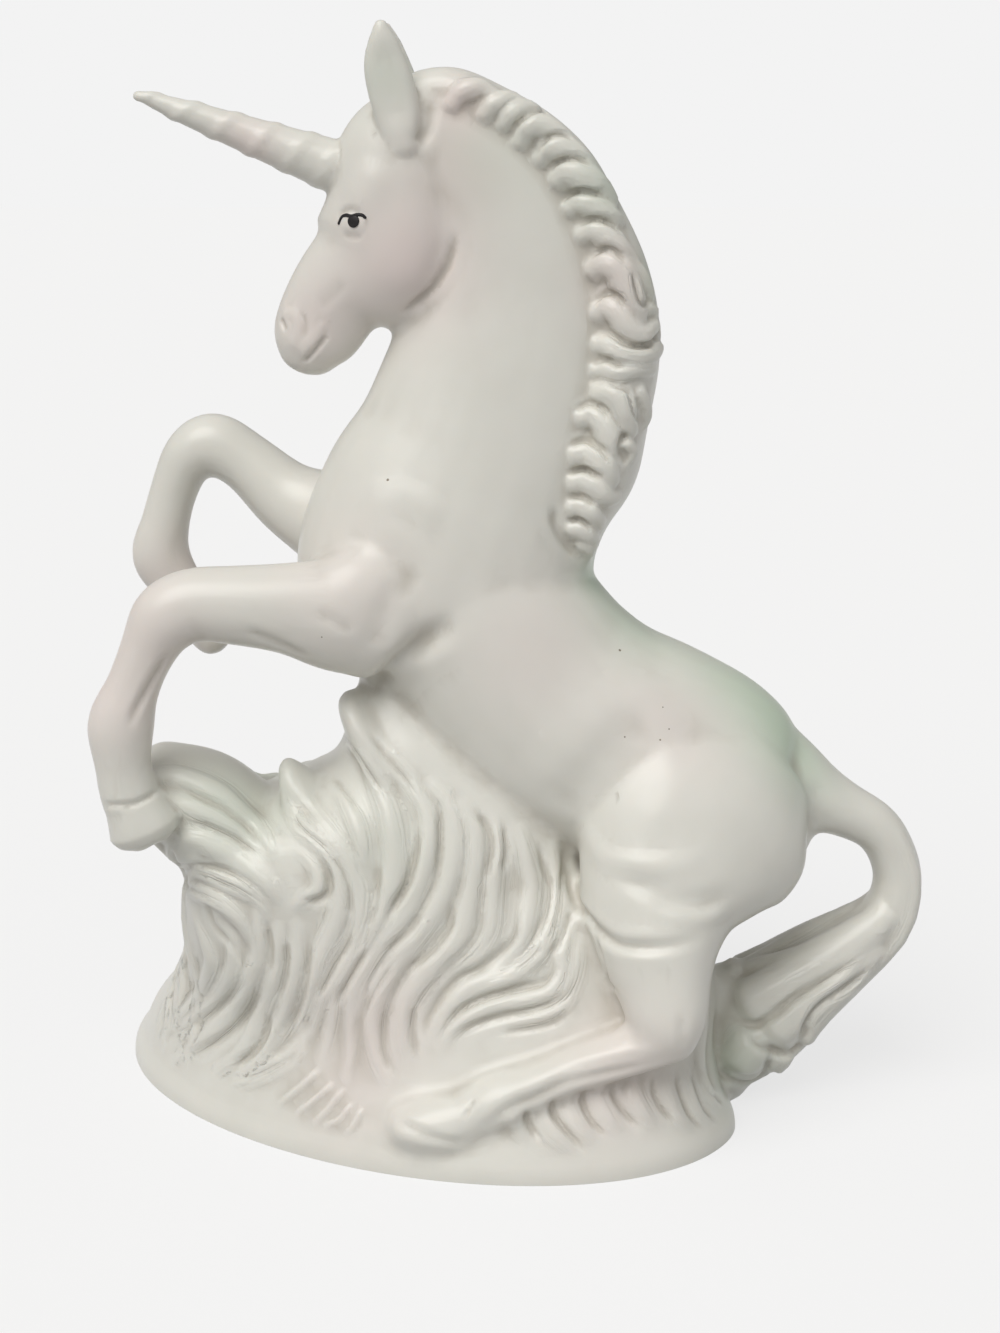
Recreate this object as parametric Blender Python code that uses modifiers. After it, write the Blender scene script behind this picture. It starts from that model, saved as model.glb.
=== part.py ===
"""Ceramic unicorn rearing over a mound of grass, cast in one piece.

Blender 4.5, metres, +Z up. The unicorn faces -X and its left side is -Y. The figure stands
on z = 0. The origin lies on the flat underside of the foot, in the figure's middle plane and
near the middle of the foot.

Each form of the figure is a loft through oval stations, as a sculptor lays clay over a wire
frame. A voxel remesh melts the forms into one skin, which is then thinned out and cut flat.
"""

import math

import bmesh
import bpy
import numpy as np
from mathutils import Matrix, Vector
from mathutils.bvhtree import BVHTree

MM = 0.001

# Foot: an egg-shaped oval, turned a little in plan, with a rounded edge. It reaches further
# from its long axis on the near side than on the far side.
BASE_LENGTH = 0.1378
BASE_NEAR_DEPTH = 0.0449
BASE_FAR_DEPTH = 0.0340
BASE_TURN = math.radians(-27.0)
BASE_MIDDLE_X = -0.002
BASE_MIDDLE_Y = 0.007
LIP_HEIGHT = 0.006
LIP_RADIUS = 0.005
FOOT_SEGMENTS = 72
MOUND_SEGMENTS = 60

# Spread of the legs and the haunches from the middle plane.
FORELEG_SPREAD = 0.018
HIP_SPREAD = 0.011
HOCK_SPREAD = 0.034
EAR_SPREAD = 0.0065

# Widths of the body, each half of it, at the widest place.
HEAD_HALF_WIDTH = 0.0102
NECK_HALF_WIDTH = 0.0200
BARREL_HALF_WIDTH = 0.0230
TAIL_HALF_WIDTH = 0.0110

# Horn: a tapered cone with a wound ridge.
HORN_LENGTH = 0.0425
HORN_ROOT_RADIUS = 0.0059
HORN_TIP_RADIUS = 0.0016
HORN_TURNS = 7
HORN_RIDGE = 0.09
HORN_STEPS = 16

# Hair and grass.
MANE_LOCKS = 18
MANE_LOCK_RADIUS = 0.0026
TAIL_LOCK_RADIUS = 0.0040
GRASS_BLADE_RADIUS = 0.0023

# Casting: how finely the forms are melted together, how far smoothing wears them down, and
# how many faces are kept.
BODY_VOXEL = 0.0011
BODY_SMOOTH_STEPS = 12
BODY_WEAR = 0.0004
SKIN_VOXEL = 0.0009
SKIN_SMOOTH_STEPS = 3
FACES_KEPT = 10200
BELOW_FOOT = 0.004

# Ends and strands: each form closes with a cap of three smaller rings, and each strand of
# hair or grass thins out towards both ends.
CAP_TURNS = (math.radians(30), math.radians(58), math.radians(78))
CAP_REACH = 0.6
STRAND_THINNEST = 0.35
STRAND_SWELL_START = 0.12
STRAND_SWELL_RUN = 0.8

# Stations of the forms in millimetres: x, z, half height in the figure's plane, and half
# width across it. The half widths are drawn for the width beside each table.
NECK_WIDE = 20.0
NECK = (
    (-2, 197.4, 8.5, 6.6), (5, 191, 14.8, 7.8), (13, 179, 17.3, 8.8), (16.4, 163, 20.1, 10.5),
    (14.4, 148.2, 23.4, 12.8), (10.7, 135, 25.2, 15.3), (5.4, 121.7, 28.0, 18.3),
    (1.8, 108, 28.2, 20.0), (3, 96, 20.0, 17.0),
)
BARREL_WIDE = 23.0
BARREL = (
    (-2, 113, 16.0, 17.0), (7, 104, 22.0, 20.5), (20, 86, 24.5, 22.0), (31.5, 77.5, 24.1, 23.0),
    (42.5, 72.5, 24.0, 22.0), (54, 66, 23.7, 20.5), (64, 60, 19.5, 16.0), (71, 58, 12.0, 10.0),
)
HEAD_WIDE = 10.2
HEAD = (
    (-1, 198, 8.0, 6.8), (-5.5, 190.5, 11.3, 9.0), (-6.8, 181.5, 12.3, 10.2),
    (-8.8, 172, 14.2, 10.0), (-16.5, 166.0, 9.6, 7.6), (-20.5, 159.7, 8.7, 6.2),
    (-22.8, 155.2, 7.6, 6.0), (-23.8, 152.4, 5.4, 4.8),
)

# Legs in millimetres: x, share of the spread, z, half height, half width.
NEAR_FORELEG = (
    (4, 0.15, 113, 20.0, 11.0), (-7, 0.6, 107.5, 16.0, 9.6), (-17, 0.85, 105.6, 11.6, 8.6),
    (-27, 0.95, 107.0, 8.6, 7.6), (-37, 1.0, 107.8, 7.3, 7.0), (-45, 1.02, 108.0, 6.7, 6.5),
    (-50, 1.04, 105.2, 6.6, 6.3), (-53.4, 1.05, 99.5, 5.2, 5.2), (-56.6, 1.06, 92.3, 4.9, 4.8),
    (-59.2, 1.08, 84.8, 6.2, 5.6), (-59.2, 1.08, 77.0, 5.2, 5.0), (-58.2, 1.08, 70.6, 6.2, 6.0),
    (-56.6, 1.08, 65.8, 6.4, 6.3), (-55.6, 1.08, 63.0, 5.6, 5.8),
)
FAR_FORELEG = (
    (2, 0.15, 114, 18.0, 10.0), (-10, 0.5, 114, 13.6, 9.0), (-21.3, 0.8, 118.4, 9.8, 8.2),
    (-29.7, 0.95, 122.3, 7.3, 7.2), (-37.8, 1.0, 129.3, 5.8, 6.4), (-44.5, 1.0, 133.1, 6.1, 6.2),
    (-49.4, 1.0, 131.0, 5.2, 5.8), (-52.7, 1.0, 124.5, 4.6, 4.8), (-55.0, 1.0, 117.0, 4.7, 4.7),
    (-56.2, 1.0, 110.2, 5.8, 5.0), (-53.0, 1.0, 104.0, 5.0, 4.6), (-50.0, 1.0, 98.8, 4.8, 5.2),
    (-47.6, 1.0, 95.0, 4.2, 5.0), (-45.4, 1.0, 91.8, 3.6, 4.2),
)
THIGH = (
    (62, -0.1, 73, 16.0, 9.5), (56, 0.1, 66.5, 22.4, 13.0), (49.2, 0.3, 59.2, 21.4, 13.5),
    (45.0, 0.52, 50.4, 16.4, 12.2), (44.2, 0.74, 43, 12.0, 10.2), (45.0, 0.9, 35.5, 8.9, 8.2),
    (45.8, 1.0, 30.0, 7.4, 7.0), (46.2, 1.0, 26.0, 5.4, 5.8),
)
HIND_CANNON = (
    (47.0, 1.0, 27.5, 5.4, 6.0), (39.0, 1.0, 23.8, 4.4, 5.2), (29.0, 1.04, 20.6, 4.0, 4.8),
    (20.0, 1.08, 17.4, 4.0, 4.7), (13.5, 1.12, 14.8, 4.8, 5.2), (8.5, 1.12, 12.0, 4.6, 4.9),
    (4.0, 1.1, 9.8, 5.4, 5.8), (-1.5, 1.06, 8.8, 5.2, 6.2), (-5.5, 1.02, 8.8, 3.6, 5.2),
)

# Tail in millimetres: x, z, half height, and half width against the named one.
TAIL_WIDE = 11.0
TAIL = (
    (65, 68, 9.4, 9.0), (75, 64.6, 7.6, 8.0), (82.6, 61.8, 5.4, 6.4), (90.3, 57.2, 4.7, 5.4),
    (94.3, 50.0, 4.6, 5.2), (94.8, 43.5, 4.8, 5.4), (92.0, 36.3, 6.0, 6.4), (84.2, 30.0, 8.0, 8.0),
    (75.3, 23.2, 10.0, 9.6), (68.0, 16.2, 10.8, 10.6), (60.0, 9.5, 9.0, 10.5), (54, 8, 6, 9),
)
TAIL_LOCKS = (
    ((90, 34), (83, 27), (75, 23), (68, 20), (61, 21)),
    ((88, 31), (80, 23), (74, 16), (68, 13), (62, 13)),
    ((90, 31.5), (85, 23.5), (80.8, 16.8), (78.6, 13.0), (77.6, 11.0)),
    ((87, 35.5), (78, 30), (69, 27.6), (62, 26.6), (56, 25.5)),
    ((72, 9.5), (68.5, 6.4), (64, 6.0), (60, 8.0)),
)

# Mane in millimetres, down the neck: the edge on the neck, and the crest behind it.
MANE_EDGE = (
    (-3, 199), (4, 199), (10, 196), (17, 193), (22.7, 187), (26, 179.5), (29, 169.7), (30.2, 159.7),
    (29.6, 150), (28, 138), (26, 128), (25.5, 119), (28.5, 112.5),
)
MANE_CREST = (
    (-2, 206.0), (5, 206.8), (14.2, 203.2), (24.2, 197.0), (31.4, 190), (36.2, 181.6),
    (41.2, 171.5), (43.9, 162), (44.1, 153.5), (41.9, 143), (39.8, 134), (34.4, 125.5),
    (31.6, 114.2),
)
MANE_HALF_DEPTH = (5.0, 6.5, 7.4, 7.5, 8.0, 8.6, 9.4, 10.0, 10.8, 12.0, 12.8, 12.4, 9.4)

# Grass mound in millimetres: z, middle x and y, half length, depth on the near and on the
# far side, turn in degrees, and the power that squares the oval off as it falls below 1.
MOUND = (
    (-6, -2, 6, 62.0, 40.0, 31.0, -27, 1.0), (4, -2, 6, 66.0, 42.5, 32.5, -27, 1.0),
    (10, -2, 5.5, 64.0, 40.0, 32.0, -25, 1.0), (16, -1, 4, 60.5, 36.5, 31.5, -21, 1.0),
    (24, 2, 2, 56.5, 33.0, 31.0, -15, 0.95), (32, 2, 0, 53.5, 29.5, 29.5, -8, 0.85),
    (42, -2, 0, 49.0, 27.5, 27.5, -4, 0.75), (52, -8, 0, 41.0, 26.0, 26.0, 0, 0.7),
    (60, -7, 0, 36.0, 24.5, 24.5, 0, 0.7), (66, -3, 0, 29.0, 22.5, 22.5, 0, 0.75),
    (72, 0, 0, 21.0, 20.0, 20.0, 0, 0.85), (80, -4, 0, 13.0, 17.0, 17.0, 0, 1.0),
    (88, -9, 0, 6.0, 11.0, 11.0, 0, 1.0),
)
# Bunches that lift out of the mound: x, y, z, half height, half depth.
BUNCHES = (
    ((-24, -2, 48, 12, 18), (-35, -3, 53.5, 11, 17), (-46.4, -4, 62.8, 11.6, 15.5),
     (-56, -5, 68.4, 8.6, 13.5)),
    ((-14, -6, 53, 9, 14), (-21, -8, 61, 7, 11), (-26.5, -10, 69.5, 3.8, 7.5),
     (-28.8, -11, 74.0, 1.8, 4)),
    ((-3, -4, 62, 10, 16), (-8.2, -7, 73, 5.8, 13), (-13.8, -9, 82, 3.6, 9.5),
     (-16.4, -10, 86.6, 2.4, 6)),
)

# Grass blades on the near side in millimetres, as x and z along each one, root to tip.
NEAR_BLADES = (
    ((-53, 78), (-44, 74), (-35, 65), (-28, 56)),
    ((-51, 69), (-42, 66), (-34, 59), (-29, 50)),
    ((-49, 63), (-41, 60), (-34, 53), (-30, 45)),
    ((-47, 57), (-40, 52), (-35, 44), (-32, 36)),
    ((-27, 75), (-22, 67), (-16, 58), (-13, 48), (-17, 38), (-24, 27)),
    ((-21, 72), (-17, 64), (-11, 56), (-9, 48), (-13, 39), (-20, 29)),
    ((-15, 88), (-9, 76), (-4, 66), (-3, 56), (-7, 47), (-14, 38), (-20, 27)),
    ((-9, 84), (-2, 74), (1, 64), (1, 54), (-4, 46), (-11, 38), (-15, 27)),
    ((2, 76), (6, 66), (7, 57), (5, 49), (-1, 42), (-8, 34), (-11, 25), (-9, 16)),
    ((10, 71), (13, 62), (13, 54), (9, 45), (2, 38), (-4, 32), (-6, 24), (-4, 16)),
    ((18, 67), (20, 58), (19, 49), (15, 40), (8, 35), (1, 30), (-2, 23)),
    ((23, 63), (25, 53), (23, 43), (17, 36), (9, 31), (3, 26), (1, 20)),
    ((29, 42), (26, 33), (18, 28), (9, 26), (4, 21)),
    ((-37, 45), (-38, 35), (-43, 28), (-50, 24)),
    ((-31, 42), (-33, 32), (-38, 24), (-46, 18)),
    ((-27, 36), (-28, 28), (-33, 20), (-42, 14)),
    ((-21, 28), (-25, 20), (-32, 13), (-40, 10)),
    ((-17, 22), (-20, 14), (-26, 8)),
    ((-13, 16), (-15, 9), (-19, 4)),
    ((20, 13), (24, 7), (29, 3)),
    ((27, 15), (30, 9), (36, 4)),
    ((34, 17), (36, 11), (42, 5)),
    ((41, 19), (42, 12), (48, 6)),
    ((48, 21), (49, 13), (54, 7)),
    ((54, 34), (55, 22), (58, 12)),
    ((-27, 66), (-22, 59), (-19, 51), (-20, 42), (-25, 33)),
    ((-30, 62), (-25, 54), (-24, 46), (-26, 38)),
    ((-41, 38), (-44, 31), (-50, 27)),
)
# Blades on the two ends of the mound, as y and z.
END_BLADES = (
    ((-12, 56), (-13, 44), (-15, 31), (-21, 18), (-24, 8)),
    ((-5, 58), (-5, 44), (-7, 30), (-11, 17), (-13, 7)),
    ((3, 56), (3, 43), (3, 30), (0, 17), (0, 7)),
    ((9, 54), (10, 42), (12, 30), (13, 17), (14, 7)),
    ((16, 50), (17, 40), (21, 28), (25, 17), (27, 8)),
)
BLADE_SINK = 0.1
FAR_OFF = 0.3

# Ear in millimetres: x, z, half width and half thickness. It leans out as it rises.
EAR = (
    (-4.5, 192, 5.0, 3.6), (-6.0, 198, 5.6, 3.0), (-7.4, 204, 4.9, 2.4), (-8.2, 209, 3.2, 1.9),
    (-9.0, 214.3, 1.2, 1.1),
)
EAR_LEAN = 0.06

# Horn in millimetres: x and z of its root inside the forehead, and the way it points.
HORN_ROOT = (-14.5, 187.4)
HORN_WAY = (-40.0, 14.0)

# Mane locks, each from the edge on the neck to the crest: the share of the way there, the
# place across as a share of the band's half depth, and how far it is raised.
MANE_LOCK = ((0.08, 1.10, 0.2), (0.35, 1.05, 1.0), (0.68, 0.8, 0.6), (0.95, 0.2, -0.5))
MANE_LOCKS_START = 0.1
MANE_LOCK_OFFSET = 0.3
MANE_LOCK_LEAD = 0.02
MANE_LOCK_LAG = 0.05
MANE_LOCK_RISE = 0.35

# Tail locks: how far they stand from the middle plane at the root and at the tip, as shares
# of the tail's half width.
TAIL_LOCK_ROOT = 0.30
TAIL_LOCK_TIP = 0.72


def scene_collection(name):
    """Return a new collection of this name, linked to the scene."""
    collection = bpy.data.collections.new(name)
    bpy.context.scene.collection.children.link(collection)
    return collection


def smooth_points(points, steps=6):
    """Pass a Catmull-Rom curve through rows of numbers, with steps rows in each span."""
    rows = np.array(points, dtype=float)
    padded = np.vstack([2 * rows[0] - rows[1], rows, 2 * rows[-1] - rows[-2]])
    out = []
    for index in range(1, len(padded) - 2):
        before, start, end, after = padded[index - 1:index + 3]
        for step in range(steps):
            t = step / steps
            out.append(0.5 * (2 * start + (end - before) * t
                              + (2 * before - 5 * start + 4 * end - after) * t ** 2
                              + (3 * start - before - 3 * end + after) * t ** 3))
    out.append(rows[-1])
    return np.array(out)


def along(points, share):
    """Return the row at a share of the way, 0 to 1, along a smooth curve through points."""
    curve = smooth_points(points, 8)
    gaps = np.linalg.norm(np.diff(curve[:, :2], axis=0), axis=1)
    travelled = np.concatenate([[0.0], np.cumsum(gaps)])
    place = share * travelled[-1]
    return np.array([np.interp(place, travelled, column) for column in curve.T])


def loft(stations, segments=20, ridge=None):
    """Make a closed skin through stations of x, y, z, half height and half width, in metres.

    Each ring stands square to the path. Its half width runs across the figure, near the Y
    axis, and its half height lies in the figure's plane. A rounded cap closes each end.
    A ridge of turns and depth winds round the loft.
    """
    rows = smooth_points(stations)
    centres = rows[:, :3]
    tangents = np.gradient(centres, axis=0)
    tangents /= np.linalg.norm(tangents, axis=1)[:, None]
    bm = bmesh.new()
    rings = []

    def add_ring(centre, tangent, high, wide, share):
        across = np.array([0.0, 1.0, 0.0])
        across -= tangent * across.dot(tangent)
        across /= np.linalg.norm(across)
        up = np.cross(tangent, across)
        ring = []
        for segment in range(segments):
            angle = 2 * math.pi * segment / segments
            swell = 1.0
            if ridge:
                swell += ridge[1] * math.cos(angle - 2 * math.pi * ridge[0] * share)
            point = centre + swell * (up * high * math.cos(angle) + across * wide * math.sin(angle))
            ring.append(bm.verts.new(point))
        rings.append(ring)

    def add_cap(end, direction):
        centre, tangent = centres[end], tangents[end]
        high, wide = rows[end, 3], rows[end, 4]
        reach = CAP_REACH * min(high, wide)
        share = 0.0 if direction < 0 else 1.0
        for turn in CAP_TURNS[::direction]:
            offset = direction * tangent * reach * math.sin(turn)
            add_ring(centre + offset, tangent, high * math.cos(turn), wide * math.cos(turn), share)

    add_cap(0, -1)
    for index, row in enumerate(rows):
        add_ring(centres[index], tangents[index], row[3], row[4], index / (len(rows) - 1))
    add_cap(-1, 1)
    for first, second in zip(rings, rings[1:]):
        for segment in range(segments):
            after = (segment + 1) % segments
            bm.faces.new((first[segment], first[after], second[after], second[segment]))
    bm.faces.new(list(reversed(rings[0])))
    bm.faces.new(rings[-1])
    bmesh.ops.recalc_face_normals(bm, faces=bm.faces)
    mesh = bpy.data.meshes.new("loft")
    bm.to_mesh(mesh)
    bm.free()
    return mesh


def plane_stations(table, wide_in_table, half_width):
    """Turn a table of x, z, half height and half width into stations on the middle plane."""
    scale = half_width / wide_in_table
    return [(x * MM, 0.0, z * MM, high * MM + BODY_WEAR, wide * scale + BODY_WEAR)
            for x, z, high, wide in table]


def leg_stations(table, inner, spread, side):
    """Turn a leg's table into stations, out from the inner place to the spread on one side."""
    return [(x * MM, side * (inner + share * (spread - inner)), z * MM, high * MM + BODY_WEAR,
             wide * MM + BODY_WEAR) for x, share, z, high, wide in table]


def strand(points, radius, flat=1.0, segments=10):
    """Make a lock or a blade: a round strand through points that thins out at both ends."""
    count = len(points)
    stations = []
    for index, point in enumerate(points):
        share = index / (count - 1)
        swell = math.sin(math.pi * (STRAND_SWELL_START + STRAND_SWELL_RUN * share))
        taper = STRAND_THINNEST + (1 - STRAND_THINNEST) * swell
        stations.append((*point, radius * taper, radius * taper * flat))
    return loft(stations, segments)


def foot_mesh():
    """Make the foot with its rounded edge: a stack of ovals, run a little below z = 0."""
    rows = [(-BELOW_FOOT, 0.0), (0.0, 0.0), (LIP_HEIGHT - LIP_RADIUS, 0.0)]
    for degrees in (22.5, 45, 67.5, 90):
        angle = math.radians(degrees)
        rows.append((LIP_HEIGHT - LIP_RADIUS + LIP_RADIUS * math.sin(angle),
                     LIP_RADIUS * (1 - math.cos(angle))))
    bm = bmesh.new()
    rings = []
    turn = Matrix.Rotation(BASE_TURN, 3, "Z")
    middle = Vector((BASE_MIDDLE_X, BASE_MIDDLE_Y, 0.0))
    for height, inset in rows:
        ring = []
        for segment in range(FOOT_SEGMENTS):
            angle = 2 * math.pi * segment / FOOT_SEGMENTS
            depth = BASE_FAR_DEPTH if math.sin(angle) > 0 else BASE_NEAR_DEPTH
            point = Vector(((BASE_LENGTH / 2 - inset) * math.cos(angle),
                            (depth - inset) * math.sin(angle), height))
            ring.append(bm.verts.new(turn @ point + middle))
        rings.append(ring)
    for low, high in zip(rings, rings[1:]):
        for segment in range(FOOT_SEGMENTS):
            after = (segment + 1) % FOOT_SEGMENTS
            bm.faces.new((low[segment], low[after], high[after], high[segment]))
    bm.faces.new(list(reversed(rings[0])))
    bm.faces.new(rings[-1])
    mesh = bpy.data.meshes.new("foot")
    bm.to_mesh(mesh)
    bm.free()
    return mesh


def mound_mesh():
    """Make the grass mound: a loft of turned ovals between the foot and the belly."""
    rows = smooth_points(MOUND, 4)
    bm = bmesh.new()
    rings = []
    for height, middle_x, middle_y, half_length, near_depth, far_depth, turn, power in rows:
        spin = Matrix.Rotation(math.radians(turn), 3, "Z")
        middle = Vector((middle_x, middle_y, height))
        ring = []
        for segment in range(MOUND_SEGMENTS):
            angle = 2 * math.pi * segment / MOUND_SEGMENTS
            depth = far_depth if math.sin(angle) > 0 else near_depth
            run = math.copysign(abs(math.cos(angle)) ** power, math.cos(angle))
            rise = math.copysign(abs(math.sin(angle)) ** power, math.sin(angle))
            point = spin @ Vector((half_length * run, depth * rise, 0.0)) + middle
            ring.append(bm.verts.new(point * MM))
        rings.append(ring)
    for low, high in zip(rings, rings[1:]):
        for segment in range(MOUND_SEGMENTS):
            after = (segment + 1) % MOUND_SEGMENTS
            bm.faces.new((low[segment], low[after], high[after], high[segment]))
    bm.faces.new(list(reversed(rings[0])))
    bm.faces.new(rings[-1])
    mesh = bpy.data.meshes.new("mound")
    bm.to_mesh(mesh)
    bm.free()
    return mesh


def joined_mesh(meshes):
    """Join meshes into one bmesh, each still a closed skin of its own."""
    bm = bmesh.new()
    for mesh in meshes:
        bm.from_mesh(mesh)
    return bm


def mane_band():
    """Make the thick band of hair that lies on the crest of the neck."""
    stations = []
    for index, half_depth in enumerate(MANE_HALF_DEPTH):
        share = index / (len(MANE_HALF_DEPTH) - 1)
        edge = along(MANE_EDGE, share)
        crest = along(MANE_CREST, share)
        half = np.linalg.norm(crest - edge) / 2
        centre = (edge + crest) / 2
        stations.append((centre[0] * MM, 0.0, centre[1] * MM, half * MM, half_depth * MM))
    return loft(stations)


def mane_locks():
    """Make the locks that curl from each side of the neck back over the crest."""
    meshes = []
    depths = [(place, deep) for place, deep in enumerate(MANE_HALF_DEPTH)]
    for side in (-1, 1):
        for lock in range(MANE_LOCKS):
            place = (lock + MANE_LOCK_OFFSET) / MANE_LOCKS
            share = MANE_LOCKS_START + (1 - MANE_LOCKS_START) * place
            edge = along(MANE_EDGE, share)
            crest = along(MANE_CREST, min(1.0, share + MANE_LOCK_LEAD))
            rise = along(MANE_CREST, max(0.0, share - MANE_LOCK_LAG))
            depth = along(depths, share)[1]
            lift = MANE_LOCK_RISE * (rise - crest)
            points = []
            for reach, out, raised in MANE_LOCK:
                place = edge + reach * (crest - edge) + raised * lift
                points.append((place[0] * MM, side * out * depth * MM, place[1] * MM))
            meshes.append(strand(points, MANE_LOCK_RADIUS, 0.9))
    return meshes


def tail_locks():
    """Make the locks that part at the end of the tail, alike on both sides."""
    meshes = []
    for side in (-1, 1):
        for lock in TAIL_LOCKS:
            points = []
            for index, (x, z) in enumerate(lock):
                share = index / (len(lock) - 1)
                out = TAIL_LOCK_ROOT + (TAIL_LOCK_TIP - TAIL_LOCK_ROOT) * share
                points.append((x * MM, side * out * TAIL_HALF_WIDTH, z * MM))
            meshes.append(strand(points, TAIL_LOCK_RADIUS))
    return meshes


def laid_blade(skin, drawn, from_side):
    """Lay one blade on the ground's skin, as seen from a far point on one side of it."""
    points = []
    for across, height in smooth_points(drawn, 3):
        if from_side.y:
            origin = Vector((across * MM, 0.0, height * MM)) + from_side
        else:
            origin = Vector((0.0, across * MM, height * MM)) + from_side
        hit, normal, _, _ = skin.ray_cast(origin, -from_side)
        if hit:
            points.append(tuple(hit - BLADE_SINK * GRASS_BLADE_RADIUS * normal))
    return points


def grass_meshes(ground):
    """Lay blades all round the mound: as drawn on the near side, mirrored on the far side."""
    skin = BVHTree.FromBMesh(joined_mesh(ground))
    meshes = []
    for side in (-1, 1):
        for blades, from_side in ((NEAR_BLADES, Vector((0, FAR_OFF * side, 0))),
                                  (END_BLADES, Vector((FAR_OFF * side, 0, 0)))):
            for blade in blades:
                points = laid_blade(skin, blade, from_side)
                if len(points) > 2:
                    meshes.append(strand(points, GRASS_BLADE_RADIUS))
    return meshes


def ear_mesh(side):
    """Make a leaf-shaped ear that stands up from the poll."""
    stations = []
    for x, z, half_width, half_thick in EAR:
        out = EAR_SPREAD + (z - EAR[0][1]) * EAR_LEAN * MM
        stations.append((x * MM, side * out, z * MM, half_width * MM, half_thick * MM))
    return loft(stations, 14)


def horn_mesh():
    """Make the horn: a straight cone from inside the forehead, with the ridge wound round it."""
    root = Vector((HORN_ROOT[0], 0.0, HORN_ROOT[1])) * MM
    direction = Vector((HORN_WAY[0], 0.0, HORN_WAY[1])).normalized()
    stations = []
    for step in range(HORN_STEPS + 1):
        share = step / HORN_STEPS
        centre = root + direction * HORN_LENGTH * share
        radius = HORN_ROOT_RADIUS + share * (HORN_TIP_RADIUS - HORN_ROOT_RADIUS)
        stations.append((*centre, radius, radius))
    return loft(stations, 16, (HORN_TURNS, HORN_RIDGE))


def ground_forms():
    """Return the foot, the mound and the bunches that lift out of it."""
    bunches = [loft([tuple(value * MM for value in row) for row in bunch]) for bunch in BUNCHES]
    return [foot_mesh(), mound_mesh()] + bunches


def body_forms():
    """Return the large forms of the animal, which melt softly into each other."""
    forms = [
        loft(plane_stations(NECK, NECK_WIDE, NECK_HALF_WIDTH)),
        loft(plane_stations(BARREL, BARREL_WIDE, BARREL_HALF_WIDTH)),
        loft(plane_stations(HEAD, HEAD_WIDE, HEAD_HALF_WIDTH)),
        loft(plane_stations(TAIL, TAIL_WIDE, TAIL_HALF_WIDTH)),
        loft(leg_stations(NEAR_FORELEG, 0.0, FORELEG_SPREAD, -1)),
        loft(leg_stations(FAR_FORELEG, 0.0, FORELEG_SPREAD, 1)),
        mane_band(),
    ]
    for side in (-1, 1):
        forms.append(loft(leg_stations(THIGH, HIP_SPREAD, HOCK_SPREAD, side)))
        forms.append(loft(leg_stations(HIND_CANNON, HIP_SPREAD, HOCK_SPREAD, side)))
    return forms


def fine_forms(ground):
    """Return the forms that stay crisp: horn, ears, locks of hair and blades of grass."""
    return ([horn_mesh(), ear_mesh(-1), ear_mesh(1)] + mane_locks() + tail_locks()
            + grass_meshes(ground))


def apply_modifier(figure, kind, **settings):
    """Add one modifier with its settings and apply it to the figure."""
    modifier = figure.modifiers.new(kind.title(), kind)
    for name, value in settings.items():
        setattr(modifier, name, value)
    bpy.context.view_layer.objects.active = figure
    bpy.ops.object.modifier_apply(modifier=modifier.name)


def cut_flat(figure):
    """Cut the figure at z = 0 and close it there with one flat face."""
    bm = bmesh.new()
    bm.from_mesh(figure.data)
    geometry = bm.verts[:] + bm.edges[:] + bm.faces[:]
    bmesh.ops.bisect_plane(bm, geom=geometry, dist=1e-7, plane_co=(0, 0, 0), plane_no=(0, 0, 1),
                           clear_inner=True)
    bmesh.ops.dissolve_degenerate(bm, dist=5e-5, edges=bm.edges)
    rim = [edge for edge in bm.edges if edge.is_boundary]
    bmesh.ops.contextual_create(bm, geom=rim)
    bmesh.ops.recalc_face_normals(bm, faces=bm.faces)
    bm.to_mesh(figure.data)
    bm.free()


def keep_largest_skin(figure):
    """Remove any small shell left inside the casting by the remesh."""
    bm = bmesh.new()
    bm.from_mesh(figure.data)
    unseen = set(bm.verts)
    skins = []
    while unseen:
        front = [unseen.pop()]
        skin = set(front)
        while front:
            vert = front.pop()
            for edge in vert.link_edges:
                other = edge.other_vert(vert)
                if other in unseen:
                    unseen.remove(other)
                    skin.add(other)
                    front.append(other)
        skins.append(skin)
    largest = max(skins, key=len)
    for skin in skins:
        if skin is not largest:
            bmesh.ops.delete(bm, geom=list(skin), context="VERTS")
    bm.to_mesh(figure.data)
    bm.free()


def ceramic_material():
    """Make the satin white bisque."""
    material = bpy.data.materials.new("bisque_porcelain")
    material.use_nodes = True
    shader = material.node_tree.nodes["Principled BSDF"]
    shader.inputs["Base Color"].default_value = (0.78, 0.76, 0.72, 1.0)
    shader.inputs["Roughness"].default_value = 0.42
    shader.inputs["Metallic"].default_value = 0.0
    return material


def melt(figure, meshes, voxel, smooth_steps):
    """Replace the figure's mesh with one skin round all these closed meshes."""
    bm = joined_mesh(meshes)
    bm.to_mesh(figure.data)
    bm.free()
    apply_modifier(figure, "REMESH", mode="VOXEL", voxel_size=voxel)
    apply_modifier(figure, "SMOOTH", factor=0.5, iterations=smooth_steps)


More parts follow.
